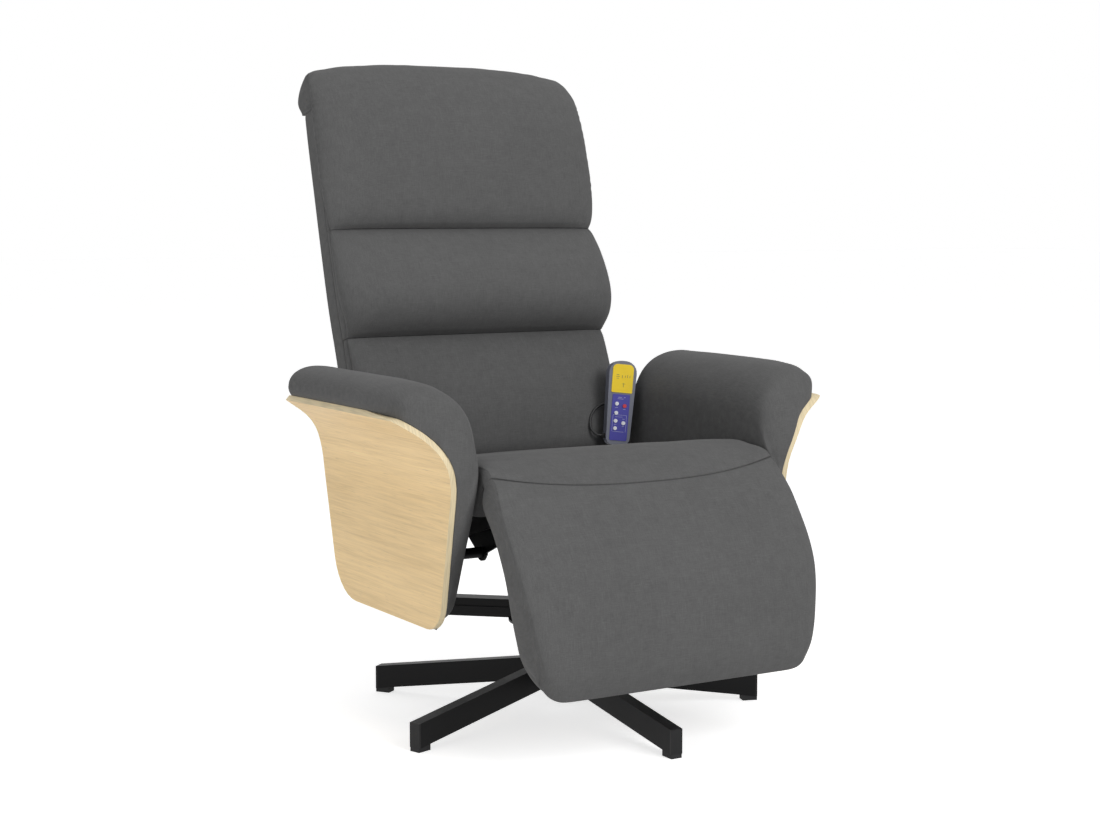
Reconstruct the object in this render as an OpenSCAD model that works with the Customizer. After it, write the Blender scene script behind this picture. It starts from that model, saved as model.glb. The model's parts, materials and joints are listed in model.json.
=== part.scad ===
// Massage recliner with a five-leg swivel base and bentwood arms, in millimetres.
// The origin is on the swivel axis at the floor, +Z is up and the sitter faces -Y.
// left is the -X side, right is the +X side.

/* [Base] */
// Distance from the swivel axis to the tip of a leg
leg_reach = 326; // [300:5:380]
// Width of a leg tube
leg_w = 20; // [18:1:26]
// Height of a leg tube
leg_h = 37; // [32:1:44]
// Wall of the steel tubes
tube_wall = 1.5; // [1.2:0.1:2.5]
// Rise of the leg underside above the floor at the tip
leg_tip_z = 6; // [5:0.5:12]
// Rise of the leg underside above the floor at the hub
leg_hub_z = 49; // [40:1:60]
// Number of legs
leg_count = 5; // [5:1:7]
// Outer radius of the hub tube
hub_r = 30; // [27:1:36]
// Height of the hub top above the floor
hub_top_z = 96; // [94:1:110]
// Length of a foot glide along its leg
glide_l = 24; // [16:1:34]

/* [Swivel] */
// Outer radius of the swivel spindle
spindle_r = 14; // [12:0.5:18]
// Wall of a swivel bush
bush_wall = 3; // [2:0.5:5]
// Height of the swivel plate top above the floor
plate_top_z = 149.5; // [140:0.5:160]
// Thickness of the swivel plate
plate_t = 3.5; // [3:0.5:6]
// Radius of the swivel plate
plate_r = 82; // [75:1:100]
// Width of a spider arm
spider_w = 30; // [24:1:40]
// Height of a spider arm
spider_h = 28.5; // [26:0.5:40]
// Distance from the swivel axis to the end of a rear spider arm
spider_reach = 228; // [205:1:235]
// Distance from the swivel axis to the end of a front spider arm
spider_front_reach = 172; // [165:1:205]
// Angle between a spider arm and the X axis
spider_angle = 42; // [38:1:46]

/* [Seat frame] */
// Height of the seat board top above the floor
board_top_z = 349; // [345:1:352]
// Thickness of the seat board
board_t = 12; // [9:1:15]
// Height and depth of a seat cross tube
cross_tube = 24; // [20:1:28]
// Distance of the rear cross tube from the swivel axis
cross_y = 127; // [120:1:135]
// Distance of the front cross tube from the swivel axis
cross_front_y = 112; // [108:1:120]
// Inner face of a side plate from the middle plane
side_in = 195; // [185:1:197]
// Thickness of the steel plates and cranks
steel_t = 4; // [3:0.5:5]
// Thickness of a pivot washer
washer_t = 1; // [0.5:0.1:1.5]
// Radius of the back pivot pin
back_pin_r = 6; // [5:0.5:8]
// Radius of the legrest pivot pin
leg_pin_r = 4; // [3:0.5:5]

/* [Cushions] */
// Half width of the seat cushion
seat_hw = 249; // [235:1:250]
// Height of the seat crest above the floor
seat_crest_z = 438; // [430:1:460]
// Thickness of the seat cushion at its rear edge
seat_rear_t = 47; // [40:1:60]
// Drop of the seat cushion from its middle to its sides
seat_crown = 4; // [2:1:16]
// Half width of the legrest at the knee
legrest_hw = 246; // [230:1:249]
// Half width of the legrest at its lower end
legrest_low_hw = 229; // [205:1:240]
// Length of the legrest from its pivot to its lower end
legrest_l = 318; // [300:1:330]
// Depth of the legrest in front of the line down from its pivot
legrest_depth = 64; // [54:1:70]
// Bulge of the middle of the legrest beyond its side seams
legrest_crown = 12; // [4:1:20]

/* [Backrest] */
// Tilt of the backrest at rest
back_tilt = 15; // [12:0.5:20]
// Distance along the back from its pivot to the lower seam
seam_low_t = 246.5; // [240:0.5:252]
// Distance along the back from its pivot to the upper seam
seam_high_t = 427; // [420:1:432]
// Distance along the back from its pivot to the top
back_top_t = 717; // [705:1:730]
// Thickness of the upholstery beside the back frame at the upper seam
back_side = 45; // [36:1:47]
// Thickness of the upholstery beside the back frame at the lower seam
waist_side = 34; // [24:1:38]
// Depth of the lower roll in front of the back pivot
lower_depth = 47; // [40:1:52]
// Depth of the middle roll in front of the back pivot
middle_depth = 71; // [60:1:76]
// Depth of the head roll in front of the back pivot
head_depth = 50; // [42:1:56]
// Reach of the head roll behind the back pivot
head_rear = 71; // [64:1:76]
// Thickness of the back panel board
panel_board_t = 8; // [6:1:9]
// Size of a back frame tube across
back_tube_w = 20; // [16:1:24]
// Depth of a back frame tube
back_tube_d = 20; // [16:1:22]

/* [Arms] */
// Inner face of an arm pad from the middle plane
arm_in = 252; // [251:0.5:256]
// Inner face of a wood shell from the middle plane
shell_in = 288.5; // [280:0.5:300]
// Thickness of a wood shell
shell_t = 9; // [7:0.5:11]
// Height of the lower edge of the arms above the floor
arm_bottom_z = 185; // [175:1:190]
// Height of the upper edge of the wood outline above the floor
arm_top_z = 510; // [500:1:520]
// Height at which the shell starts to bend outward
bend_z = 385; // [380:1:400]
// Bend radius of the inner face of the shell
bend_r = 120; // [110:1:130]
// Angle of the flared rim from the vertical
flare_angle = 58; // [52:1:60]
// Length of the straight part of the flared rim
flare_l = 35; // [30:1:37]
// Height of the crest of an arm pad above the floor
roll_z = 551; // [550:1:570]
// Thickness of the board inside an arm
arm_board_t = 10; // [8:1:12]

/* [Motion] */
// Recline of the back from rest
recline = 30; // [25:1:30]
// Turns of the legrest for each turn of the back
legrest_ratio = 2; // [2:1:2]
// Radius of the crank that the back drives
leg_crank_r = 64; // [60:1:64]

/* [Handset] */
// Width of the handset
handset_w = 49; // [46:1:56]
// Length of the handset
handset_l = 142; // [135:1:155]
// Thickness of the handset
handset_d = 24; // [20:1:28]
// Wall of the handset shells
handset_wall = 2; // [1.5:0.5:3]
// Radius of a push button
button_r = 3.2; // [2.5:0.1:4]
// Height of a push button above the handset face
button_up = 1.6; // [1.2:0.1:2.5]
// Diameter of the handset cord
cord_d = 4.5; // [4:0.5:5.5]

/* [Hidden] */
$fn = 48;

// One overrun serves every cut
over = 1;
// Gap round a soft solid
soft_gap = 0.3;
// Radial gap of a running fit
fit_gap = 0.05;
// Gap between a plug and the tube that it closes
plug_gap = 0.2;
// Side gap between moving plates
side_gap = 1;

// Legs
leg_inner_r = hub_r - 2 * tube_wall;
leg_tilt = atan((leg_hub_z - leg_tip_z) / (leg_reach - hub_r));
cap_t = 3;
cap_plug_l = 12;
hub_bottom_z = leg_hub_z - 5;
hub_wall = 4;
glide_w = leg_w - 2;

// Swivel
bush_r = spindle_r + bush_wall;
bush_l = 15;
bush_flange_t = 2;
bush_flange_r = bush_r + 4;
hub_bore_r = hub_r - hub_wall;
bush_seat_r = bush_r;
plate_z = plate_top_z - plate_t;
retainer_t = 3;
retainer_r = bush_flange_r;
spindle_wall = 3;
collar_r = 24;
spider_foot_h = 16;
spider_foot_w = spider_w + 5;
spider_top_z = plate_top_z + spider_h;
post_w = 20;

// Seat frame
board_z = board_top_z - board_t;
cross_z = board_z - cross_tube;
side_out = side_in + steel_t;
crank_in = side_out + washer_t;
crank_out = crank_in + steel_t;
rod_t = 5;
rod_in = crank_out + side_gap;
rod_out = rod_in + rod_t;
back_hw = crank_out + back_side;
back_waist_hw = crank_out + waist_side;
side_low_z = cross_z - 8;
seat_board_y = [-172, 150];
lobe_r = 13;
bolt_front = [-102, side_low_z - 18];
bolt_rear = [92, board_z - 10];
bolt_r = 4;
spacer_r = 8;
spacer_wall = 3;

// Pivots, as places along Y and Z
back_pivot = [205, 345];
leg_pivot = [-208, 402];
knuckle_r = 14;
ear_r = 10;
back_ear_r = 20;
back_crank_r = leg_crank_r * sin(recline * legrest_ratio / 2) / sin(recline / 2);
rear_link = back_pivot + back_crank_r * [sin(recline / 2), -cos(recline / 2)];
front_link = leg_pivot + leg_crank_r * [sin(recline), -cos(recline)];
link_pin_r = 4;
link_boss_r = 11;
link_slack = 0.6;
link_sag = (leg_crank_r * (1 - cos(recline)) - back_crank_r * (1 - cos(recline / 2))) * 1.1;

// Backrest, in its own frame: X across, Y rearward and Z up along the back
panel_front_s = 10;
tube_front_s = panel_front_s + panel_board_t;
tube_rear_s = tube_front_s + back_tube_d;
cushion_rear_s = panel_front_s - soft_gap;
back_frame_top_t = back_top_t - 97;
back_frame_low_t = 50;
cover_low_t = 58;
cover_top_t = back_top_t - 81;
cover_wall = 4;
cover_rear_s = tube_rear_s + 12;
lower_cushion_t = 35;

// Arms
arm_rear_y = 243;
arm_rear_top_y = 190;
arm_front_y = -204;
pad_gap = 1.7 * soft_gap;
roll_x = 340;
roll_spring_z = 470;
roll_out_x = 384;
roll_tuck_z = 511;
pad_edge_r = 16;
pad_end_share = 0.5;
roll_front_l = 70;
roll_rear_l = 30;
arm_outline = rounded([
    [-156, arm_bottom_z, 46], [arm_front_y, 440, 60], [-174, 499, 20], [-10, arm_top_z, 100],
    [arm_rear_top_y, arm_top_z, 14], [arm_rear_y, 408, 80], [184, arm_bottom_z, 80]
]);
arm_board_low_z = 205;
arm_board_high_z = 385;
arm_board_front_y = -160;
arm_board_rear_y = 168;
bolt_head_r = 8;
bolt_head_t = 4;

// Motors
motor_r = 13;
motor_l = 34;
motor_wall = 2;
shaft_r = 2;
weight_r = 10;
weight_l = 16;
seat_motor_at = [105, -75];
back_motor_at = [95, 190];

// Control box
box_size = [110, 96, 40];
box_at = [88, 15];
box_wall = 2;

// Handset place, on the seat in the corner by the right arm
handset_at = [205, 158, 396];
handset_yaw = 20;
handset_lean = -6;
handset_roll = 6;
corner_r = 12;
display_size = [36, 48];
display_low = 88;
display_t = 1;
keypad_size = [30, 78];
keypad_low = 7;
keypad_t = 1;
button_travel = 1;
button_cap_l = 5;
button_hole_gap = 0.2;
button_flange_r = button_r + 1.2;
button_flange_t = 1;
// Button places on the handset face: across and up from its foot
power_at = [6.8, 66];
back_upper_at = [-6.8, 69];
back_lower_at = [-6.8, 53.5];
seat_at = [-6.8, 40];
speed_at = [6.8, 37];
timer_at = [-6.8, 27.5];
pcb_t = 1.6;
pcb_gap = 1;
pcb_w = 27;
pcb_low = 12;

// Smooth curve through a table of [place, value] pairs
function span(t, x, i = 0) = i >= len(t) - 2 || x <= t[i + 1][0] ? i : span(t, x, i + 1);
function pitch(t, i) =
    let (a = max(i - 1, 0), b = min(i + 1, len(t) - 1))
    (t[b][1] - t[a][1]) / (t[b][0] - t[a][0]);
function curve_at(t, x) =
    let (i = span(t, x), h = t[i + 1][0] - t[i][0], u = (x - t[i][0]) / h)
    let (a = u * u * (3 - 2 * u))
    t[i][1] * (1 - a) + t[i + 1][1] * a
        + h * u * (1 - u) * (pitch(t, i) * (1 - u) - pitch(t, i + 1) * u);
function mix(a, b, u) = a + (b - a) * u;
// Table of shares times a size
function times(t, size) = [for (p = t) [p[0], p[1] * size]];
// Quarter of an ellipse: 0 at d = 0, 1 from d = r on
function round_in(d, r) = d >= r ? 1 : sqrt(max(0, 1 - pow(1 - d / r, 2)));

// Outline with rounded corners, from [x, y, radius] corners
function unit(v) = v / norm(v);
function corner(a, b, c, n) =
    let (u = unit([a[0] - b[0], a[1] - b[1]]), v = unit([c[0] - b[0], c[1] - b[1]]))
    let (half = acos(max(-1, min(1, u * v))) / 2)
    let (centre = [b[0], b[1]] + unit(u + v) * b[2] / sin(half))
    let (s = [b[0], b[1]] + u * b[2] / tan(half) - centre)
    let (turn = (u[0] * v[1] - u[1] * v[0] > 0 ? -1 : 1) * (180 - 2 * half))
    [for (i = [0 : n]) let (a = turn * i / n)
        centre + [s[0] * cos(a) - s[1] * sin(a), s[0] * sin(a) + s[1] * cos(a)]];
function round_at(at, r) = [at[0], at[1], r];
function rounded(p, n = 7) = [for (i = [0 : len(p) - 1])
    each corner(p[(i + len(p) - 1) % len(p)], p[i], p[(i + 1) % len(p)], n)];
function crossings(p, z) = [for (i = [0 : len(p) - 1])
    let (a = p[i], b = p[(i + 1) % len(p)])
    if ((a[1] - z) * (b[1] - z) < 0) mix(a[0], b[0], (z - a[1]) / (b[1] - a[1]))];

// Closed skin through rings of equal length, each counter-clockwise seen from the last ring.
// The two halves of a ring face each other, so both ends close as ribbons.
module loft(rings) {
    n = len(rings[0]);
    m = len(rings);
    half = n / 2;
    function at(k, i) = k * n + i % n;
    polyhedron(
        points = [for (r = rings) each r],
        faces = concat(
            [for (k = [0 : m - 2], i = [0 : n - 1]) [at(k, i), at(k + 1, i + 1), at(k, i + 1)]],
            [for (k = [0 : m - 2], i = [0 : n - 1]) [at(k, i), at(k + 1, i), at(k + 1, i + 1)]],
            [for (i = [0 : half - 2]) [i, i + 1, n - 1 - i]],
            [for (i = [0 : half - 2]) [i + 1, n - 2 - i, n - 1 - i]],
            [for (i = [0 : half - 2]) [at(m - 1, i + 1), at(m - 1, i), at(m - 1, n - 1 - i)]],
            [for (i = [0 : half - 2]) [at(m - 1, n - 2 - i), at(m - 1, i + 1), at(m - 1, n - 1 - i)]]
        ),
        convexity = 6
    );
}

// A plate of the side view: an outline in Y and Z from x0 to x1
module side_plate_of(x0, x1) {
    translate([x0, 0, 0]) rotate([90, 0, 90]) linear_extrude(x1 - x0) children();
}
module both() {
    children();
    mirror([1, 0, 0]) children();
}
// A round bar along X
module x_bar(at, x0, x1, r) {
    translate([x0, at[0], at[1]]) rotate([0, 90, 0]) cylinder(h = x1 - x0, r = r);
}
// A flat bar with round ends between two points of the side view, without its bores
module strap(a, b, r, x0, x1) {
    d = b - a;
    x_bar(a, x0, x1, r);
    x_bar(b, x0, x1, r);
    translate([x0, a[0], a[1]]) rotate([atan2(d[1], d[0]), 0, 0])
        translate([0, 0, -r]) cube([x1 - x0, norm(d), 2 * r]);
}
module in_back() {
    translate([0, back_pivot[0], back_pivot[1]]) rotate([-back_tilt, 0, 0]) children();
}
function back_point(s, t) = back_pivot
    + [s * cos(back_tilt) + t * sin(back_tilt), t * cos(back_tilt) - s * sin(back_tilt)];
module on_legs() {
    for (i = [0 : leg_count - 1]) rotate([0, 0, -90 + i * 360 / leg_count]) children();
}
// Side view of a leg between two distances from the swivel axis, inset from its outer faces
leg_rise = (leg_hub_z - leg_tip_z) / (leg_reach - hub_r);
function leg_low(x) = leg_tip_z + (leg_reach - x) * leg_rise;
module leg_body(x0, x1, inset) {
    w = leg_w / 2 - inset;
    top = leg_h - 2 * inset;
    translate([0, w, inset]) rotate([90, 0, 0]) linear_extrude(2 * w) polygon([
        [x0, leg_low(x0)], [x1, leg_low(x1)], [x1, leg_low(x1) + top], [x0, leg_low(x0) + top]
    ]);
}

module star_base() {
    color([0.16, 0.16, 0.17]) difference() {
        union() {
            translate([0, 0, hub_bottom_z]) cylinder(h = hub_top_z - hub_bottom_z, r = hub_r);
            on_legs() leg_body(leg_inner_r, leg_reach - cap_t, 0);
        }
        on_legs() leg_body(hub_r + tube_wall, leg_reach + over, tube_wall);
        translate([0, 0, hub_bottom_z - over])
            cylinder(h = hub_top_z - hub_bottom_z + 2 * over, r = bush_seat_r);
    }
}

module leg_end_caps() {
    color([0.1, 0.1, 0.1]) on_legs() {
        leg_body(leg_reach - cap_t, leg_reach, 0);
        leg_body(leg_reach - cap_t - cap_plug_l, leg_reach - cap_t, tube_wall + plug_gap);
    }
}

module foot_glides() {
    x0 = leg_reach - glide_l;
    w = glide_w / 2;
    color([0.08, 0.08, 0.08]) on_legs() translate([0, w, 0]) rotate([90, 0, 0])
        linear_extrude(2 * w) polygon([[x0, 0], [leg_reach, 0], [leg_reach, leg_low(leg_reach)], [x0, leg_low(x0)]]);
}

module swivel_bushes() {
    color([0.85, 0.85, 0.8]) {
        bush(hub_top_z, 1);
        bush(hub_bottom_z, -1);
    }
}
module bush(z, side) {
    translate([0, 0, z]) scale([1, 1, 1]) mirror([0, 0, side > 0 ? 0 : 1]) difference() {
        union() {
            cylinder(h = bush_flange_t, r = bush_flange_r);
            translate([0, 0, -bush_l]) cylinder(h = bush_l, r = bush_r - fit_gap);
        }
        translate([0, 0, -bush_l - over])
            cylinder(h = bush_l + bush_flange_t + 2 * over, r = spindle_r + fit_gap);
    }
}

module swivel_spindle() {
    low = hub_bottom_z - bush_flange_t - retainer_t;
    color([0.55, 0.56, 0.58]) difference() {
        union() {
            translate([0, 0, low]) cylinder(h = plate_z - low, r = spindle_r);
            translate([0, 0, hub_top_z + bush_flange_t])
                cylinder(h = plate_z - hub_top_z - bush_flange_t, r = collar_r);
        }
        translate([0, 0, low - over])
            cylinder(h = plate_z - low + 2 * over, r = spindle_r - spindle_wall);
    }
}

module spindle_retainer() {
    low = hub_bottom_z - bush_flange_t - retainer_t;
    color([0.6, 0.6, 0.62]) translate([0, 0, low]) difference() {
        cylinder(h = retainer_t, r = retainer_r);
        translate([0, 0, -over]) cylinder(h = retainer_t + 2 * over, r = spindle_r + fit_gap);
    }
}

module swivel_plate() {
    hole_r = 4;
    hole_at = plate_r - 14;
    color([0.14, 0.14, 0.15]) translate([0, 0, plate_z]) difference() {
        cylinder(h = plate_t, r = plate_r, $fn = 96);
        for (i = [0 : 3]) rotate([0, 0, i * 90])
            translate([hole_at, 0, -over]) cylinder(h = plate_t + 2 * over, r = hole_r);
    }
}

// The four arms that carry the seat frame: a wide flat tube with a narrower one on it
module spider_arms(w, z0, z1, more) {
    for (a = [spider_angle, 180 - spider_angle]) rotate([0, 0, a])
        translate([-spider_front_reach - more, -w / 2, z0])
            cube([spider_front_reach + spider_reach + 2 * more, w, z1 - z0]);
}
module spider_frame() {
    wall = 2 * tube_wall;
    step_z = plate_top_z + spider_foot_h;
    color([0.13, 0.13, 0.14]) difference() {
        union() {
            spider_arms(spider_foot_w, plate_top_z, step_z, 0);
            spider_arms(spider_w, step_z, spider_top_z, 0);
        }
        spider_arms(spider_w - 2 * wall, plate_top_z + wall, spider_top_z - wall, over);
    }
}

module seat_frame() {
    color([0.15, 0.15, 0.16]) {
        for (y = [-cross_front_y, cross_y]) translate([-side_in, y - cross_tube / 2, cross_z])
            cube([2 * side_in, cross_tube, cross_tube]);
        for (x = [-1, 1]) {
            post(x * cross_y / tan(spider_angle), cross_y);
            post(x * cross_front_y / tan(spider_angle), -cross_front_y);
        }
    }
}
module post(x, y) {
    translate([x - post_w / 2, y - post_w / 2, spider_top_z])
        cube([post_w, post_w, cross_z - spider_top_z]);
}

// Side plate with its lobe, its rear ear and its front ear
module seat_side_plate() {
    ear_foot = [-176, side_low_z + 16];
    color([0.13, 0.13, 0.14]) difference() {
        union() {
            side_plate_of(side_in, side_out) polygon([
                [ear_foot[0] - ear_r, board_top_z], [ear_foot[0] - ear_r, side_low_z + lobe_r],
                [bolt_front[0] - lobe_r, bolt_front[1]], [bolt_front[0] + lobe_r, bolt_front[1]],
                [bolt_front[0] + 3 * lobe_r, side_low_z], [bolt_rear[0] - lobe_r, side_low_z],
                [back_pivot[0] - back_ear_r, side_low_z], [back_pivot[0], back_pivot[1] - back_ear_r],
                [back_pivot[0], back_pivot[1] + back_ear_r], [back_pivot[0] - 1.6 * back_ear_r, board_top_z]
            ]);
            x_bar(bolt_front, side_in, side_out, lobe_r);
            x_bar(back_pivot, side_in, side_out, back_ear_r);
            strap(leg_pivot, ear_foot, ear_r, side_in, side_out);
        }
        x_bar(back_pivot, side_in - over, side_out + over, back_pin_r + fit_gap);
        x_bar(leg_pivot, side_in - over, side_out + over, leg_pin_r + fit_gap);
        for (b = [bolt_front, bolt_rear]) x_bar(b, side_in - over, side_out + over, bolt_r + plug_gap);
    }
}

module seat_board() {
    color([0.72, 0.58, 0.4]) translate([-side_in + side_gap, seat_board_y[0], board_z])
        cube([2 * (side_in - side_gap), seat_board_y[1] - seat_board_y[0], board_t]);
}

// Seat cushion: a crest behind the knee, sloping down to the back
module seat_cushion() {
    rear_y = 170;
    nose = leg_pivot + [-7, knuckle_r + 4];
    under_y = -152;
    rear_z = board_top_z + seat_rear_t;
    crest_rise = seat_crest_z - rear_z;
    top_table = [
        [0, rear_z - 9], [0.03, rear_z], [0.4, mix(rear_z, seat_crest_z, 0.5)],
        [0.7, mix(rear_z, seat_crest_z, 0.86)], [0.82, seat_crest_z],
        [0.92, seat_crest_z - crest_rise * 0.12], [0.975, mix(nose[1], seat_crest_z, 0.5)],
        [1, nose[1]]
    ];
    steps = 14;
    knuckle_steps = 4;
    cols_share = [1, 0.985, 0.94, 0.84, 0.6, 0.3];
    cols = concat([for (c = cols_share) -c], [0], [for (i = [len(cols_share) - 1 : -1 : 0]) cols_share[i]]);
    function drop(c) = seat_crown * pow(abs(c), 2.4) + 8 * (1 - round_in(1 - abs(c), 0.07));
    function ring(c) =
        let (x = seat_hw * c, w = drop(c))
        let (low = board_top_z + soft_gap, kr = knuckle_r + 0.8)
        concat(
            [for (i = [0 : steps]) let (u = i / steps)
                [x, mix(rear_y, nose[0], u), max(low + 4, curve_at(top_table, u) - w * min(1, (1 - u) * 9))]],
            [for (i = [0 : knuckle_steps]) let (a = mix(92, 12, i / knuckle_steps))
                [x, leg_pivot[0] + kr * cos(a), leg_pivot[1] + kr * sin(a)]],
            [for (i = [0 : steps - knuckle_steps - 1]) let (u = i / (steps - knuckle_steps - 1))
                [x, mix(under_y, rear_y, u), low]]
        );
    color([0.3, 0.3, 0.31]) loft([for (c = cols) ring(c)]);
}

// Legrest frame: q runs down the leg from the pivot, p runs forward
leg_hang = 21.2;
function leg_point(q, p) = [
    leg_pivot[0] - q * sin(leg_hang) - p * cos(leg_hang),
    leg_pivot[1] - q * cos(leg_hang) + p * sin(leg_hang)
];
module in_leg() {
    translate([0, leg_pivot[0], leg_pivot[1]]) rotate([-leg_hang, 0, 0]) children();
}
leg_board_p = 14;
leg_board_t = 10;
leg_board_q = [52, 258];
leg_board_hw = 205;
bracket_q = [46, 116];
bracket_t = 3;
bracket_w = 22;

module legrest_pad() {
    front_shares = [
        [0, 0.2188], [0.04, 0.3594], [0.14, 0.625], [0.28, 0.8125], [0.4, 0.9375], [0.52, 1],
        [0.63, 0.9688], [0.75, 0.8688], [0.86, 0.75], [0.94, 0.5938], [1, 0.3125]
    ];
    rear_shares = [
        [0, -0.2969], [0.08, -0.3281], [0.19, -0.1094], [0.31, 0.0312], [0.43, 0.0781], [0.52, 0.0312],
        [0.63, -0.0938], [0.75, -0.2188], [0.83, -0.2812], [0.93, -0.125], [1, 0.2188]
    ];
    front_table = times(front_shares, legrest_depth);
    rear_table = times(rear_shares, legrest_depth);
    width_table = [
        [0, legrest_hw], [0.45, legrest_hw], [0.6, mix(legrest_low_hw, legrest_hw, 0.8)],
        [0.8, mix(legrest_low_hw, legrest_hw, 0.4)], [1, legrest_low_hw]
    ];
    steps = 13;
    knuckle_steps = 3;
    corner_l = 30;
    cols_share = [1, 0.985, 0.94, 0.86, 0.62, 0.32];
    cols = concat([for (c = cols_share) -c], [0], [for (i = [len(cols_share) - 1 : -1 : 0]) cols_share[i]]);
    function row_u(i) = let (v = i / steps) v + 0.05 * sin(360 * v) * -1;
    function lift(c) = corner_l * (1 - round_in(1 - abs(c), 0.16)) / legrest_l;
    function crown(c, u) = legrest_crown * (1 - pow(abs(c), 2.6)) * sin(180 * min(1, u * 0.94 + 0.02))
        - 6 * (1 - round_in(1 - abs(c), 0.06)) * min(1, u * 8);
    function ring(c) = concat(
        [for (i = [0 : knuckle_steps - 1]) let (a = mix(20, 140, i / (knuckle_steps - 1)))
            let (k = leg_pivot + knuckle_r * [cos(a), sin(a)]) [legrest_hw * c, k[0], k[1]]],
        [for (i = [0 : steps]) let (v = row_u(i), u = v * (1 - lift(c) * v))
            let (k = leg_point(legrest_l * u, curve_at(front_table, v) + crown(c, v)))
            [curve_at(width_table, v) * c, k[0], k[1]]],
        [for (i = [steps : -1 : 0]) let (v = 0.06 + 0.94 * row_u(i), u = v * (1 - lift(c) * v))
            let (k = leg_point(legrest_l * u - 1, curve_at(rear_table, v)))
            [curve_at(width_table, v) * c, k[0], k[1]]],
        [for (i = [0 : knuckle_steps - 1]) let (a = mix(-60, 10, i / (knuckle_steps - 1)))
            let (k = leg_pivot + knuckle_r * [cos(a), sin(a)]) [legrest_hw * c, k[0], k[1]]]
    );
    color([0.3, 0.3, 0.31]) difference() {
        loft([for (c = cols) ring(c)]);
        both() {
            slot_in = side_in - side_gap;
            slot_out = rod_out + 3;
            x_bar(leg_pivot, slot_in, slot_out, ear_r + 1);
            side_plate_of(slot_in, slot_out) polygon([
                leg_pivot + (ear_r + 1) * [cos(110), sin(110)], leg_pivot + [60, 40],
                leg_pivot + [60, -70], leg_point(bracket_q[1] + 2, -40),
                leg_point(bracket_q[1] + 2, leg_board_p + 1), leg_point(12, leg_board_p + 1), leg_pivot
            ]);
            in_leg() translate([crank_in - bracket_w - side_gap, -leg_board_p - soft_gap, -bracket_q[1] - 2])
                cube([bracket_w + 2 * side_gap, 60, bracket_q[1] - 20]);
        }
        in_leg() translate([-leg_board_hw - soft_gap, -leg_board_p - leg_board_t - soft_gap,
                -leg_board_q[1] - soft_gap])
            cube([2 * (leg_board_hw + soft_gap), leg_board_t + 2 * soft_gap,
                leg_board_q[1] - leg_board_q[0] + 2 * soft_gap]);
    }
}

module legrest_board() {
    color([0.72, 0.58, 0.4]) in_leg()
        translate([-leg_board_hw, -leg_board_p - leg_board_t, -leg_board_q[1]])
            cube([2 * leg_board_hw, leg_board_t, leg_board_q[1] - leg_board_q[0]]);
}

// Legrest cranks: pivot, arm to the link and a flange on the board
module legrest_cranks() {
    face_p = leg_board_p - bracket_t;
    foot_r = 3;
    outline = rounded([
        round_at(leg_pivot + ear_r * [-0.4, 1], ear_r * 0.8), round_at(leg_point(bracket_q[0], face_p), foot_r),
        round_at(leg_point(bracket_q[1], face_p), foot_r),
        round_at(leg_point(bracket_q[1], -face_p / 2), foot_r),
        round_at(front_link + ear_r * [0.4, -1.1], ear_r * 0.9), round_at(front_link + ear_r * [1.3, 0], ear_r * 0.7),
        round_at(leg_pivot + ear_r * [1.1, 0.5], ear_r * 0.8)
    ]);
    color([0.12, 0.12, 0.13]) both() difference() {
        union() {
            side_plate_of(crank_in, crank_out) polygon(outline);
            in_leg() translate([crank_out - bracket_w, -leg_board_p, -bracket_q[1]])
                cube([bracket_w, bracket_t + 0.5, bracket_q[1] - bracket_q[0] - 8]);
        }
        x_bar(leg_pivot, crank_in - over, crank_out + over, leg_pin_r + fit_gap);
    }
}

module link_rods() {
    low = front_link - [0, link_sag];
    hole_r = link_pin_r + link_slack;
    color([0.2, 0.2, 0.21]) both() difference() {
        union() {
            strap(rear_link, front_link, link_boss_r * 0.75, rod_in, rod_out);
            x_bar(rear_link, rod_in, rod_out, link_boss_r);
            strap(low, front_link, link_boss_r, rod_in, rod_out);
        }
        x_bar(rear_link, rod_in - over, rod_out + over, link_pin_r + fit_gap);
        strap(low, front_link, hole_r, rod_in - over, rod_out + over);
    }
}

// Pin with a head, along X
module pin(at, r, x0, x1, head) {
    x_bar(at, x0, x1, r);
    x_bar(at, x1, x1 + head, r * 1.7);
}
module front_link_pins() {
    color([0.7, 0.7, 0.72]) both() pin(front_link, link_pin_r, crank_out, rod_out + side_gap, 2);
}
module rear_link_pins() {
    color([0.7, 0.7, 0.72]) both() pin(rear_link, link_pin_r, crank_out, rod_out + side_gap, 2);
}
module back_pivot_pins() {
    color([0.7, 0.7, 0.72]) both() pin(back_pivot, back_pin_r, side_in, crank_out, 4);
}
module legrest_pivot_pins() {
    color([0.7, 0.7, 0.72]) both() pin(leg_pivot, leg_pin_r, side_in, crank_out, 2);
}
module pivot_washers() {
    color([0.9, 0.9, 0.86]) both() {
        washer(back_pivot, back_pin_r);
        washer(leg_pivot, leg_pin_r);
    }
}
module washer(at, r) {
    difference() {
        x_bar(at, side_out, crank_in, r + 4);
        x_bar(at, side_out - over, crank_in + over, r + fit_gap);
    }
}

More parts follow.
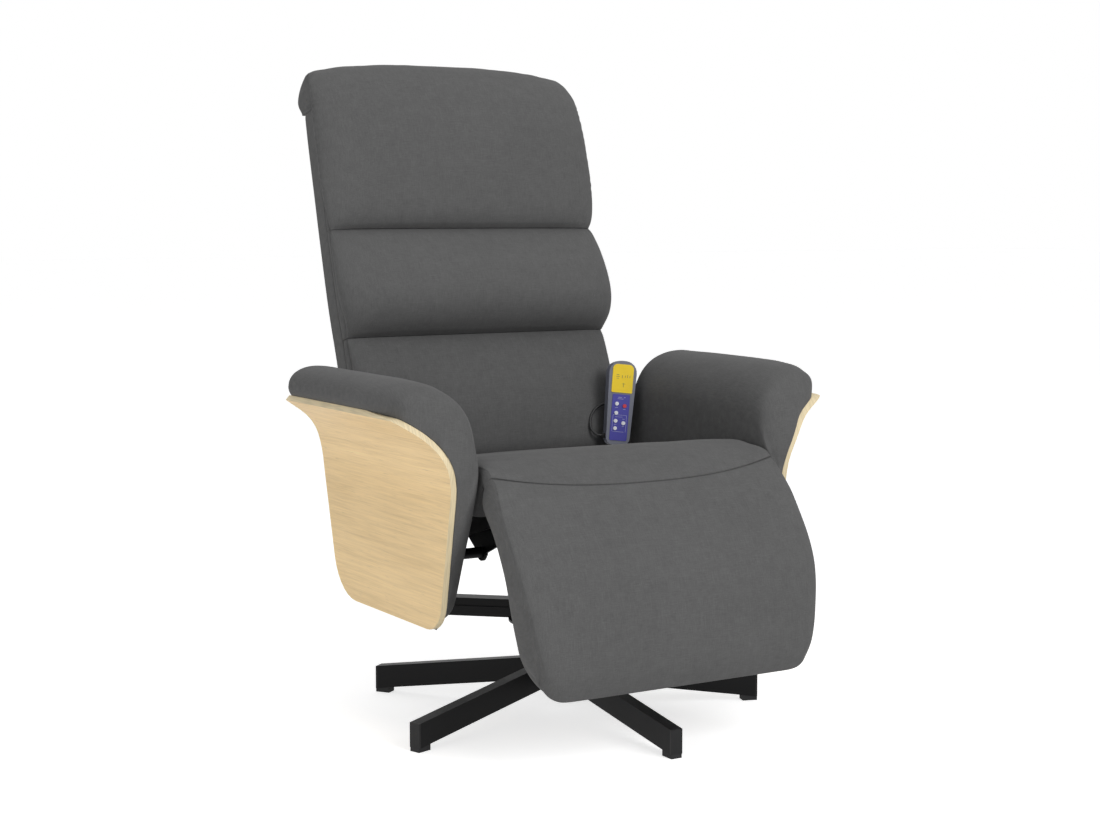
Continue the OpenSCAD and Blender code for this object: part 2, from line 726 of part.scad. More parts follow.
// Wood shell: the bent profile cut to the outline of the side view
function bend_point(r, a) = [shell_in + bend_r - r * cos(a), bend_z + r * sin(a)];
shell_r = bend_r - shell_t;
bend_steps = 8;
flare_dir = [sin(flare_angle), cos(flare_angle)];
module arm_outline_block(x0, x1) {
    side_plate_of(x0, x1) polygon(arm_outline);
}
module arm_shell() {
    inner = [for (i = [0 : bend_steps]) bend_point(bend_r, flare_angle * i / bend_steps)];
    outer = [for (i = [bend_steps : -1 : 0]) bend_point(shell_r, flare_angle * i / bend_steps)];
    profile = concat(
        [[shell_in, arm_bottom_z - over]], inner,
        [inner[bend_steps] + flare_l * flare_dir, outer[0] + flare_l * flare_dir], outer,
        [[shell_in + shell_t, arm_bottom_z - over]]
    );
    intersection() {
            translate([0, 2 * arm_rear_y, 0]) rotate([90, 0, 0])
                linear_extrude(4 * arm_rear_y) polygon(profile);
            arm_outline_block(0, 2 * shell_in);
    }
}

module arm_board() {
    difference() {
        translate([shell_in - arm_board_t, arm_board_front_y, arm_board_low_z])
            cube([arm_board_t, arm_board_rear_y - arm_board_front_y, arm_board_high_z - arm_board_low_z]);
        for (b = [bolt_front, bolt_rear])
            x_bar(b, shell_in - arm_board_t - over, shell_in + over, bolt_r + plug_gap);
        board_corner(arm_board_front_y, -1);
        board_corner(arm_board_rear_y, 1);
    }
}
// Lower corners of the arm board, cut to follow the round corners of the outline
module board_corner(y, side) {
    side_plate_of(shell_in - arm_board_t - over, shell_in + over) polygon([
        [y + side * over, arm_board_low_z - over], [y - side * 45, arm_board_low_z - over],
        [y + side * over, arm_board_low_z + 60]
    ]);
}

// Arm pad: foam on the inner face of the shell, rolled over its flared rim
module arm_pad() {
    z0 = arm_bottom_z - 1;
    arc = 6;
    tuck = 6;
    pad_t = shell_in - arm_in;
    // Share of the thickness, and share of the height up to the roll
    low_part = [[0.25, 0], [0.62, 0.035], [0.88, 0.12], [1, 0.3], [1, 0.62], [1, 1]];
    a_face = concat(
        [for (r = low_part) [shell_in - pad_t * r[0], mix(z0, roll_spring_z, r[1])]],
        [for (i = [1 : arc]) let (a = 90 * i / arc)
            [roll_x - (roll_x - arm_in) * cos(a), roll_spring_z + (roll_z - roll_spring_z) * sin(a)]],
        [for (i = [1 : tuck]) let (a = 90 - 90 * i / tuck)
            [roll_x + (roll_out_x - roll_x) * cos(a), roll_tuck_z + (roll_z - roll_tuck_z) * sin(a)]]
    );
    n = len(a_face);
    rise = len(low_part);
    glue_r = bend_r + pad_gap;
    bend_end = bend_point(glue_r, flare_angle);
    b_face = concat(
        [for (r = low_part) [shell_in - pad_gap, mix(z0, bend_z, r[1])]],
        [for (i = [1 : arc + 3]) bend_point(glue_r, flare_angle * i / (arc + 3))],
        [for (i = [1 : tuck - 3]) bend_end + flare_dir * (flare_l - 1) * i / (tuck - 3)]
    );
    // How far the front edge of the inner face stands behind the edge of the shell, by height
    set_back = [[150, 42], [190, 37], [208, 31], [234, 25], [268, 18], [304, 10], [340, 1], [400, -8],
        [440, -13], [480, -9], [510, 0], [540, 5], [600, 5]];
    low_z = arm_bottom_z + 2;
    high_z = arm_top_z - 12;
    shares = [0, 0.012, 0.035, 0.08, 0.16, 0.3, 0.5, 0.7, 0.84, 0.92, 0.965, 0.988, 1];
    arm_l = arm_rear_y - arm_front_y;
    function edges(z) = let (ys = crossings(arm_outline, min(high_z, max(low_z, z)))) [min(ys), max(ys)];
    function end_d(k) = min(shares[k], 1 - shares[k]) * arm_l;
    function grow(k) = mix(pad_end_share, 1, round_in(end_d(k), pad_edge_r));
    function rise_of(k) = shares[k] < 0.5
        ? mix(0.12, 1, round_in(end_d(k), roll_front_l)) : mix(0.1, 1, round_in(end_d(k), roll_rear_l));
    function lowered(p, k) = p[1] > roll_tuck_z
        ? [p[0], roll_tuck_z + (p[1] - roll_tuck_z) * rise_of(k)] : p;
    function a_point(j, k) =
        let (a = lowered(a_face[j], k), b = b_face[j], c = mix(b, a, grow(k)), e = edges(a_face[j][1]))
        [c[0], mix(e[0] + curve_at(set_back, a_face[j][1]), e[1] - 6, shares[k]), c[1]];
    function b_point(j, k) =
        let (e = edges(b_face[j][1])) [b_face[j][0], mix(e[0], e[1], shares[k]), b_face[j][1]];
    function ring(k) = concat(
        [for (j = [0 : n - 1]) a_point(j, k)], [for (j = [n - 1 : -1 : 0]) b_point(j, k)]
    );
    difference() {
        loft([for (k = [0 : len(shares) - 1]) ring(k)]);
        translate([shell_in - arm_board_t - pad_gap, arm_board_front_y - pad_gap, arm_board_low_z - pad_gap])
            cube([arm_board_t + over, arm_board_rear_y - arm_board_front_y + 2 * pad_gap,
                arm_board_high_z - arm_board_low_z + 2 * pad_gap]);
        for (b = [bolt_front, bolt_rear]) x_bar(b, arm_in - 10, shell_in, spacer_r + soft_gap);
    }
}

module arm_shell_left() { color([0.84, 0.73, 0.55]) mirror([1, 0, 0]) arm_shell(); }
module arm_shell_right() { color([0.84, 0.73, 0.55]) arm_shell(); }
module arm_board_left() { color([0.75, 0.62, 0.42]) mirror([1, 0, 0]) arm_board(); }
module arm_board_right() { color([0.75, 0.62, 0.42]) arm_board(); }
module arm_pad_left() { color([0.3, 0.3, 0.31]) mirror([1, 0, 0]) arm_pad(); }
module arm_pad_right() { color([0.3, 0.3, 0.31]) arm_pad(); }
module seat_side_plate_left() { mirror([1, 0, 0]) seat_side_plate(); }
module seat_side_plate_right() { seat_side_plate(); }

module arm_spacers() {
    color([0.5, 0.5, 0.52]) both() for (b = [bolt_front, bolt_rear]) difference() {
        x_bar(b, side_out, shell_in - arm_board_t, spacer_r);
        x_bar(b, side_out - over, shell_in, spacer_r - spacer_wall);
    }
}
module arm_bolts() {
    color([0.65, 0.65, 0.67]) both() for (b = [bolt_front, bolt_rear]) {
        x_bar(b, side_in, shell_in - 1, bolt_r);
        x_bar(b, side_in - bolt_head_t, side_in, bolt_head_r);
    }
}

// Backrest
module back_frame() {
    x0 = crank_in - back_tube_w;
    color([0.15, 0.15, 0.16]) in_back() {
        both() translate([x0, tube_front_s, back_frame_low_t])
            cube([back_tube_w, back_tube_d, back_frame_top_t - back_frame_low_t]);
        for (t = [back_frame_low_t + 40, seam_low_t + 60, back_frame_top_t - back_tube_w])
            translate([-x0, tube_front_s, t]) cube([2 * x0, back_tube_d, back_tube_w]);
    }
}
module back_hinge_plates() {
    high_t = 150;
    wide_t = 70;
    foot_r = 3;
    notch_t = lower_cushion_t - foot_r;
    arm_n = unit(rear_link - back_pivot);
    side_n = [-arm_n[1], arm_n[0]];
    tip = rear_link + arm_n * link_boss_r;
    outline = rounded([
        round_at(tip + side_n * link_boss_r, link_boss_r * 0.9), round_at(back_point(back_ear_r, 0), back_ear_r),
        round_at(back_point(tube_rear_s, wide_t), back_ear_r), round_at(back_point(tube_rear_s, high_t), foot_r),
        round_at(back_point(tube_front_s, high_t), foot_r), round_at(back_point(tube_front_s, notch_t), foot_r),
        round_at(back_point(-back_ear_r, back_ear_r), back_ear_r * 0.8),
        round_at(back_point(-back_ear_r, -back_ear_r), back_ear_r * 0.6),
        round_at(tip - side_n * link_boss_r, link_boss_r * 0.9)
    ]);
    color([0.12, 0.12, 0.13]) both() difference() {
        side_plate_of(crank_in, crank_out) polygon(outline);
        x_bar(back_pivot, crank_in - over, crank_out + over, back_pin_r + fit_gap);
    }
}
module back_board() {
    color([0.72, 0.58, 0.4]) in_back() translate([-back_waist_hw + 16, panel_front_s, lower_cushion_t + 34])
        cube([2 * (back_waist_hw - 16), panel_board_t, back_frame_top_t + 10 - lower_cushion_t - 34]);
}

// Rear shell: a tapered upholstered tray behind the board
function cover_ring(t, in) =
    let (u = (t - seam_low_t) / (cover_top_t - seam_low_t))
    let (rear = cover_rear_s - in)
    let (hw = mix(back_waist_hw, back_hw - 5, min(1, max(0, u * 2))) - in, r = 9)
    let (front = panel_front_s - (in > 0 ? over : 0))
    let (rear_hw = hw - mix(2, 5, min(1, max(0, u))))
    [
        [-hw, front, t], [hw, front, t], [rear_hw + 2, rear - r, t], [rear_hw - 3, rear - 3, t],
        [rear_hw - r - 2, rear, t], [-rear_hw + r + 2, rear, t], [-rear_hw + 3, rear - 3, t],
        [-rear_hw - 2, rear - r, t]
    ];
module back_cover() {
    levels = [cover_low_t, seam_low_t, mix(seam_low_t, cover_top_t, 0.5), cover_top_t];
    inner = [cover_low_t - over, seam_low_t, mix(seam_low_t, cover_top_t, 0.5), cover_top_t - cover_wall];
    color([0.27, 0.27, 0.28]) in_back() difference() {
        loft([for (t = levels) cover_ring(t, 0)]);
        loft([for (t = inner) cover_ring(t, cover_wall)]);
    }
}

// A back roll: rings across the back, stacked from one seam to the next.
// Each row holds the place along the roll, the front, the side seam, the half width and the rear.
module back_roll(rows) {
    side_n = 11;
    function bow(i) = let (a = 180 * i / side_n) [
        -sign(cos(a)) * pow(abs(cos(a)), 0.5), pow(abs(sin(a)), 0.62)
    ];
    function ring(r) = concat(
        [[-r[3] + 4, r[4], r[0]]],
        [for (i = [0 : side_n]) [bow(i)[0] * r[3], mix(r[2], r[1], bow(i)[1]), r[0]]],
        [[r[3] - 4, r[4], r[0]]],
        [for (i = [side_n + 1 : -1 : 1])
            [(r[3] - 8) * (2 * (i - 0.5) / (side_n + 1) - 1), r[4], r[0]]]
    );
    color([0.3, 0.3, 0.31]) in_back() loft([for (r = rows) ring(r)]);
}
// Rows of a roll from tables of shares: height, front, side and half width
function roll_rows(t0, t1, keys, front_table, side_table, width_table, rear_table) = [
    for (k = keys) let (t = mix(t0, t1, k)) [
        t, curve_at(front_table, k), curve_at(side_table, k),
        curve_at(width_table, k), curve_at(rear_table, k)
    ]
];
seam_gap = 0.15;
flat_rear = [[0, cushion_rear_s], [1, cushion_rear_s]];

module back_cushion_lower() {
    front_shares = [[0, -0.5532], [0.04, -0.766], [0.12, -0.9149], [0.35, -1], [0.6, -0.9149], [0.8, -0.7234],
        [0.93, -0.4894], [1, -0.234]];
    side_shares = [[0, -0.2128], [0.35, -0.2979], [0.8, -0.1702], [1, 0]];
    width_shares = [[0, 0.941], [0.5, 0.975], [0.95, 1], [1, 0.996]];
    back_roll(roll_rows(lower_cushion_t, seam_low_t - seam_gap,
        [0, 0.04, 0.12, 0.3, 0.5, 0.7, 0.85, 0.95, 0.985, 1],
        times(front_shares, lower_depth), times(side_shares, lower_depth),
        times(width_shares, back_waist_hw), flat_rear));
}
module back_cushion_middle() {
    front_shares = [[0, -0.1549], [0.03, -0.4085], [0.1, -0.7042], [0.2, -0.9155], [0.32, -1], [0.47, -0.9577],
        [0.62, -0.8592], [0.77, -0.6901], [0.9, -0.4648], [0.97, -0.2958], [1, -0.1549]];
    side_shares = [[0, 0], [0.12, -0.3099], [0.4, -0.2817], [0.7, -0.1972], [1, 0]];
    width_shares = [[0, 0.956], [0.15, 1.004], [0.35, 1.024], [0.7, 1.016], [1, 0.996]];
    back_roll(roll_rows(seam_low_t + seam_gap, seam_high_t - seam_gap,
        [0, 0.03, 0.1, 0.2, 0.32, 0.47, 0.62, 0.77, 0.9, 0.97, 1],
        times(front_shares, middle_depth), times(side_shares, middle_depth),
        times(width_shares, back_hw), flat_rear));
}
module back_cushion_head() {
    front_shares = [[0, -0.22], [0.025, -0.48], [0.08, -0.7], [0.2, -0.86], [0.38, -0.98], [0.58, -1],
        [0.72, -0.86], [0.8, -0.7], [0.88, -0.44], [0.94, -0.16], [0.98, 0.12], [1, 0.36]];
    side_shares = [[0, 0], [0.1, -0.2], [0.35, -0.32], [0.6, -0.36], [0.8, -0.16], [0.9, 0.04], [0.96, 0.24], [1, 0.48]];
    width_shares = [[0, 0.996], [0.08, 1.012], [0.25, 1.02], [0.5, 1.008], [0.8, 1], [0.88, 0.98],
        [0.94, 0.936], [0.98, 0.871], [1, 0.759]];
    over_rear_shares = [[0.728, 0.8732], [0.8, 1], [0.88, 0.9718], [0.94, 0.8732], [0.98, 0.6761], [1, 0.4789]];
    // Place up the roll where it passes the top of the shell and wraps over it
    wrap_share = 0.7229;
    back_roll(roll_rows(seam_high_t + seam_gap, back_top_t,
        [0, 0.025, 0.08, 0.2, 0.35, 0.52, 0.66, 0.722, 0.728, 0.8, 0.88, 0.94, 0.98, 1],
        times(front_shares, head_depth), times(side_shares, head_depth),
        times(width_shares, back_hw),
        concat([[0, cushion_rear_s], [wrap_share, cushion_rear_s]], times(over_rear_shares, head_rear))
    ));
}

// Vibration motor: a can with a cap, and a shaft with an eccentric weight
module motor_can() {
    rotate([0, 90, 0]) translate([0, 0, -motor_l / 2]) difference() {
        cylinder(h = motor_l, r = motor_r);
        translate([0, 0, motor_wall]) cylinder(h = motor_l - 2 * motor_wall, r = motor_r - motor_wall);
        translate([0, 0, -over]) cylinder(h = motor_l + 2 * over, r = shaft_r + fit_gap);
    }
}
module motor_rotor() {
    rotate([0, 90, 0]) {
        translate([0, 0, -motor_l / 2]) cylinder(h = motor_l, r = shaft_r);
        translate([0, 0, -weight_l / 2]) intersection() {
            cylinder(h = weight_l, r = weight_r);
            translate([0, -weight_r, 0]) cube([weight_r, 2 * weight_r, weight_l]);
        }
    }
}
module at_seat_motor() {
    translate([seat_motor_at[0], seat_motor_at[1], board_z - motor_r]) children();
}
module at_back_motor() {
    in_back() translate([back_motor_at[0], tube_front_s + motor_r, back_motor_at[1]]) children();
}
module seat_motor_housings() {
    color([0.4, 0.4, 0.42]) {
        at_seat_motor() seat_motor_mount();
        mirror([1, 0, 0]) at_seat_motor() seat_motor_mount();
    }
}
module seat_motor_mount() {
    motor_can();
    difference() {
        translate([-motor_l / 2, -motor_r, motor_r - 3]) cube([motor_l, 2 * motor_r, 3]);
        rotate([0, 90, 0]) translate([0, 0, -motor_l]) cylinder(h = 2 * motor_l, r = motor_r - motor_wall);
    }
}
module back_motor_housings() {
    color([0.4, 0.4, 0.42]) both() at_back_motor() {
        motor_can();
        difference() {
            translate([-motor_l / 2, -motor_r, -motor_r]) cube([motor_l, 3, 2 * motor_r]);
            rotate([0, 90, 0]) translate([0, 0, -motor_l]) cylinder(h = 2 * motor_l, r = motor_r - motor_wall);
        }
    }
}
module rotor_seat_left() { color([0.75, 0.6, 0.3]) mirror([1, 0, 0]) at_seat_motor() motor_rotor(); }
module rotor_seat_right() { color([0.75, 0.6, 0.3]) at_seat_motor() motor_rotor(); }
module back_rotor() { at_back_motor() rotate([back_tilt, 0, 0]) motor_rotor(); }
module rotor_back_left() { color([0.75, 0.6, 0.3]) mirror([1, 0, 0]) back_rotor(); }
module rotor_back_right() { color([0.75, 0.6, 0.3]) back_rotor(); }

// Control box under the seat board, with its cover plate and the supply inlet
box_low = [box_at[0] - box_size[0] / 2, box_at[1] - box_size[1] / 2, board_z - box_size[2]];
gland_bore_at = [box_at[0], box_low[1] + box_size[1], board_z - 22];
inlet_r = 5;
inlet_at = [box_low[0], box_at[1], board_z - 22];
module control_box() {
    color([0.13, 0.13, 0.13]) difference() {
        translate(box_low + [0, 0, box_wall]) cube(box_size - [0, 0, box_wall]);
        translate(box_low + [box_wall, box_wall, 0])
            cube(box_size - [2 * box_wall, 2 * box_wall, box_wall]);
        translate(gland_bore_at - [0, 2 * box_wall, 0]) rotate([-90, 0, 0])
            cylinder(h = 4 * box_wall, r = cord_d / 2 + plug_gap);
        translate(inlet_at - [over, 0, 0]) rotate([0, 90, 0])
            cylinder(h = box_wall + 2 * over, r = inlet_r + plug_gap);
    }
}
module control_box_cover() {
    color([0.16, 0.16, 0.16]) translate(box_low) cube([box_size[0], box_size[1], box_wall]);
}
module power_inlet() {
    pin_r = 1;
    depth = 11;
    color([0.05, 0.05, 0.05]) translate(inlet_at - [2, 0, 0]) rotate([0, 90, 0]) {
        difference() {
            union() {
                cylinder(h = depth + 2, r = inlet_r);
                cylinder(h = 2, r = inlet_r + 2);
            }
            translate([0, 0, -over]) cylinder(h = depth, r = inlet_r - 2);
        }
        translate([0, 0, 1]) cylinder(h = depth, r = pin_r);
    }
}

// Handset frame: X across, Y into the face and Z up from the foot
module in_handset() {
    translate(handset_at) rotate([0, 0, -handset_yaw]) rotate([handset_lean, handset_roll, 0]) children();
}
function handset_outline(in) =
    let (w = handset_w / 2 - in, waist = handset_w * 0.41 - in)
    rounded([
        [-waist, in, corner_r - in], [waist, in, corner_r - in],
        [w, handset_l - in, 1.7 * corner_r - in], [-w, handset_l - in, 1.7 * corner_r - in]
    ], 6);
module handset_slab(y0, y1, in) {
    translate([0, y1, 0]) rotate([90, 0, 0]) linear_extrude(y1 - y0) polygon(handset_outline(in));
}
front_y = -handset_d / 2;
gland_l = 9;
gland_r = cord_d / 2 + 2;
// Where the cord leaves the left side of the handset
gland_z = 14;
gland_x = -handset_w * 0.42;
module handset_shell_half(y0, y1, open0, open1) {
    difference() {
        handset_slab(y0, y1, 0);
        handset_slab(open0, open1, handset_wall);
        translate([gland_x - gland_l, 0, gland_z]) rotate([0, 90, 0]) cylinder(h = 2 * gland_l, r = gland_r);
    }
}
module handset_back_shell() {
    color([0.43, 0.44, 0.49]) in_handset()
        handset_shell_half(0, handset_d / 2, -over, handset_d / 2 - handset_wall);
}
module handset_front_shell() {
    color([0.43, 0.44, 0.49]) in_handset() difference() {
        handset_shell_half(front_y, 0, front_y + handset_wall, over);
        button_holes();
    }
}
module button_holes() {
    for (b = [power_at, back_upper_at, back_lower_at, seat_at, speed_at, timer_at])
        translate([b[0], front_y - keypad_t - over, b[1]]) rotate([-90, 0, 0])
            cylinder(h = handset_wall + keypad_t + 2 * over, r = button_r + button_hole_gap);
}
module handset_display() {
    color([0.95, 0.85, 0.1]) in_handset()
        translate([-display_size[0] / 2, front_y - display_t, display_low])
            cube([display_size[0], display_t, display_size[1]]);
}
module handset_keypad() {
    color([0.27, 0.27, 0.62]) in_handset() difference() {
        translate([-keypad_size[0] / 2, front_y - keypad_t, keypad_low])
            cube([keypad_size[0], keypad_t, keypad_size[1]]);
        button_holes();
    }
}
pcb_y = front_y + handset_wall + button_flange_t + button_travel + pcb_gap;
module handset_circuit_board() {
    color([0.1, 0.4, 0.2]) in_handset() {
        translate([-pcb_w / 2, pcb_y, pcb_low]) cube([pcb_w, pcb_t, display_low + display_size[1] - 2 * pcb_low]);
        for (x = [-1, 1], z = [2 * pcb_low, display_low + display_size[1] - 2 * pcb_low])
            translate([x * pcb_w / 3, pcb_y + pcb_t, z]) rotate([-90, 0, 0])
                cylinder(h = handset_d / 2 - handset_wall - pcb_y - pcb_t, r = 2);
    }
}
module push_button(at, shade) {
    color(shade) in_handset() translate([at[0], front_y - keypad_t - button_up, at[1]]) rotate([-90, 0, 0]) {
        cylinder(h = button_up + keypad_t + handset_wall, r = button_r);
        translate([0, 0, button_up + keypad_t + handset_wall]) cylinder(h = button_flange_t, r = button_flange_r);
    }
}
module button_power() { push_button(power_at, [0.85, 0.2, 0.25]); }
module button_back_upper() { push_button(back_upper_at, "white"); }
module button_back_lower() { push_button(back_lower_at, "white"); }
module button_seat() { push_button(seat_at, "white"); }
module button_speed() { push_button(speed_at, "white"); }
module button_timer() { push_button(timer_at, "white"); }

// The two ends of the cord: a gland at the side of the handset and one on the control box
module gland_body() {
    difference() {
        cylinder(h = gland_l, r = gland_r);
        translate([0, 0, -over]) cylinder(h = gland_l + 2 * over, r = cord_d / 2 + plug_gap);
    }
}
module handset_gland() {
    color([0.06, 0.06, 0.06]) {
        in_handset() translate([gland_x - gland_l + 2 * handset_wall, 0, gland_z]) rotate([0, 90, 0]) gland_body();
        translate(gland_bore_at) rotate([-90, 0, 0]) gland_body();
    }
}

// Cord from the side of the handset, round behind the handset and down to the control box
cord_points = [
    [193.7, 163.6, 411.3], [189.2, 165.3, 411.8], [183.5, 167.4, 412.4], [177.2, 169.8, 413.2],
    [171.9, 172.6, 416.6], [168.4, 175.9, 422.2], [167.6, 179.3, 429.4], [169.3, 182.2, 437.2],
    [172.8, 184.4, 445.5], [180.6, 185.9, 454.7], [191, 186.6, 460.7], [202.7, 186.2, 463.8],
    [214.6, 184.6, 465], [226, 182, 465.4], [237, 178.6, 461.8], [237, 180, 453], [243, 181, 441],
    [243.5, 181, 424], [243.5, 181, 404], [243.5, 181, 380], [243.5, 180, 355], [243, 177, 330],
    [240, 172, 309], [230, 167, 293], [212, 163, 285], [190, 160, 282], [165, 156, 281],
    [140, 150, 281], [116, 141, 283], [99, 128, 290], [90, 109, 302], [88, 91, 311], [88, 77, 315],
    [88, 62, 315]
];
cord_sides = 8;
cord_step = 2;
function spline_point(p, i, u) =
    let (a = p[max(i - 1, 0)], b = p[i], c = p[i + 1], d = p[min(i + 2, len(p) - 1)])
    0.5 * (2 * b + (c - a) * u + (2 * a - 5 * b + 4 * c - d) * u * u + (3 * b - a - 3 * c + d) * u * u * u);
cord_line = concat(
    [for (i = [0 : len(cord_points) - 2], k = [0 : cord_step - 1]) spline_point(cord_points, i, k / cord_step)],
    [cord_points[len(cord_points) - 1]]
);
function heading(i) = unit(cord_line[min(i + 1, len(cord_line) - 1)] - cord_line[max(i - 1, 0)]);
function flatten(v, n) = unit(v - (v * n) * n);
function normals(i = 0, last = [1, 0, 0]) = i >= len(cord_line) ? [] :
    let (v = flatten(last, heading(i))) concat([v], normals(i + 1, v));
module handset_cord() {
    sides = normals();
    rings = [for (i = [0 : len(cord_line) - 1])
        let (h = heading(i), u = sides[i], v = cross(h, u))
        [for (k = [0 : cord_sides - 1]) let (a = 360 * k / cord_sides)
            cord_line[i] + cord_d / 2 * (u * cos(a) + v * sin(a))]];
    color([0.04, 0.04, 0.04]) loft(rings);
}

star_base();
leg_end_caps();
foot_glides();
swivel_bushes();
spindle_retainer();
swivel_spindle();
swivel_plate();
spider_frame();
seat_frame();
seat_side_plate_left();
seat_side_plate_right();
seat_board();
seat_cushion();
arm_shell_left();
arm_shell_right();
arm_board_left();
arm_board_right();
arm_pad_left();
arm_pad_right();
arm_spacers();
arm_bolts();
back_pivot_pins();
legrest_pivot_pins();
pivot_washers();
control_box();
control_box_cover();
power_inlet();
seat_motor_housings();
back_frame();
back_hinge_plates();
back_board();
back_cover();
back_cushion_lower();
back_cushion_middle();
back_cushion_head();
back_motor_housings();
rear_link_pins();
legrest_board();
legrest_pad();
legrest_cranks();
front_link_pins();
link_rods();
handset_back_shell();
handset_front_shell();
handset_display();
handset_keypad();
handset_circuit_board();
handset_gland();
handset_cord();
button_power();
button_back_upper();
button_back_lower();
button_seat();
button_speed();
button_timer();
rotor_back_left();
rotor_back_right();
rotor_seat_left();
rotor_seat_right();
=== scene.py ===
"""Massage recliner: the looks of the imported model.

Metres, Z up, the sitter faces -Y and left is the -X side. Lengths in the tables
below are in millimetres and become metres where a mesh is made.
"""
import json
import math

import bmesh
import bpy
from mathutils import Matrix, Vector, noise


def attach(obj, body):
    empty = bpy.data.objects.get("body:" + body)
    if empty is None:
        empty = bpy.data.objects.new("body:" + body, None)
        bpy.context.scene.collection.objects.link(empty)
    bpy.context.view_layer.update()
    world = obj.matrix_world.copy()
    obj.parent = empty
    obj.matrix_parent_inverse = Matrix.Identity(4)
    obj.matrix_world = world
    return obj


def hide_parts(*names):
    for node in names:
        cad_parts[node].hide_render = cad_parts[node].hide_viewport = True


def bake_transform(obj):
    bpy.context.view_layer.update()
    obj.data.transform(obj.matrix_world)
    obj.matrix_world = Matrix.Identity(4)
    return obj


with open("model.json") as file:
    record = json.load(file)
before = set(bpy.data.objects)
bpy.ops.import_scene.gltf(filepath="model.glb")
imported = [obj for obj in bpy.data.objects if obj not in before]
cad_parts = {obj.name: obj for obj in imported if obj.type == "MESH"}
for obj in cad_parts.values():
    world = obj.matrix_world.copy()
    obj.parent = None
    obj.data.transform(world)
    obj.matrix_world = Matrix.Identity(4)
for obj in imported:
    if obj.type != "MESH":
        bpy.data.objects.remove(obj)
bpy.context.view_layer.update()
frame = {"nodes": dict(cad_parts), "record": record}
scene = bpy.context.scene
scene.view_settings.view_transform = "Standard"

MM = 0.001


# ---------------------------------------------------------------- small helpers
def mix(a, b, u):
    return a + (b - a) * u


def clamp(v, low=0.0, high=1.0):
    return max(low, min(high, v))


def smooth(a, b, v):
    u = clamp((v - a) / (b - a))
    return u * u * (3 - 2 * u)


def curve_at(table, x):
    """Smooth curve through a table of (place, value) pairs, as the solids use it."""
    i = 0
    while i < len(table) - 2 and x > table[i + 1][0]:
        i += 1

    def pitch(k):
        a, b = max(k - 1, 0), min(k + 1, len(table) - 1)
        return (table[b][1] - table[a][1]) / (table[b][0] - table[a][0])

    h = table[i + 1][0] - table[i][0]
    u = (x - table[i][0]) / h
    a = u * u * (3 - 2 * u)
    return (table[i][1] * (1 - a) + table[i + 1][1] * a
            + h * u * (1 - u) * (pitch(i) * (1 - u) - pitch(i + 1) * u))


def round_in(d, r):
    """Quarter of an ellipse: 0 at d = 0, 1 from d = r on."""
    return 1.0 if d >= r else math.sqrt(max(0.0, 1 - (1 - d / r) ** 2))


def ripple(x, y, z, size):
    """Smooth noise in -1..1 with features of the given size."""
    return noise.noise(Vector((x / size, y / size, z / size)))


def spline_point(line, i, u):
    """Point on the smooth line through the points, at share u between points i and i + 1."""
    a, b, c, d = line[max(i - 1, 0)], line[i], line[i + 1], line[min(i + 2, len(line) - 1)]
    return tuple(0.5 * (2 * b[k] + (c[k] - a[k]) * u
                        + (2 * a[k] - 5 * b[k] + 4 * c[k] - d[k]) * u * u
                        + (3 * b[k] - a[k] - 3 * c[k] + d[k]) * u ** 3) for k in range(len(b)))


def resample(line, factor):
    """Smooth line through the points, with factor steps between each two."""
    return [spline_point(line, i, k / factor)
            for i in range(len(line) - 1) for k in range(factor)] + [line[-1]]


def spread(marks, between):
    """All the marks, with each gap between two of them cut into even steps."""
    keys = []
    for a, b in zip(marks, marks[1:]):
        keys += [mix(a, b, i / between) for i in range(between)]
    return keys + [marks[-1]]


def mirrored(shares):
    """Places across a piece from -1 to 1, from the half list 1 .. 0."""
    return [-c for c in shares] + list(reversed(shares))[1:]


def add_object(name, data):
    obj = bpy.data.objects.new(name, data)
    scene.collection.objects.link(obj)
    return obj


def mesh_piece(name, points, faces, material):
    mesh = bpy.data.meshes.new(name)
    mesh.from_pydata([tuple(c * MM for c in p) for p in points], [], faces)
    mesh.validate()
    obj = add_object(name, mesh)
    bm = bmesh.new()
    bm.from_mesh(mesh)
    bmesh.ops.recalc_face_normals(bm, faces=bm.faces)
    bm.to_mesh(mesh)
    bm.free()
    for p in mesh.polygons:
        p.use_smooth = True
    mesh.materials.append(material)
    return obj


def subdivide(obj):
    m = obj.modifiers.new("Subdivision", "SUBSURF")
    m.levels = 1
    m.render_levels = 1


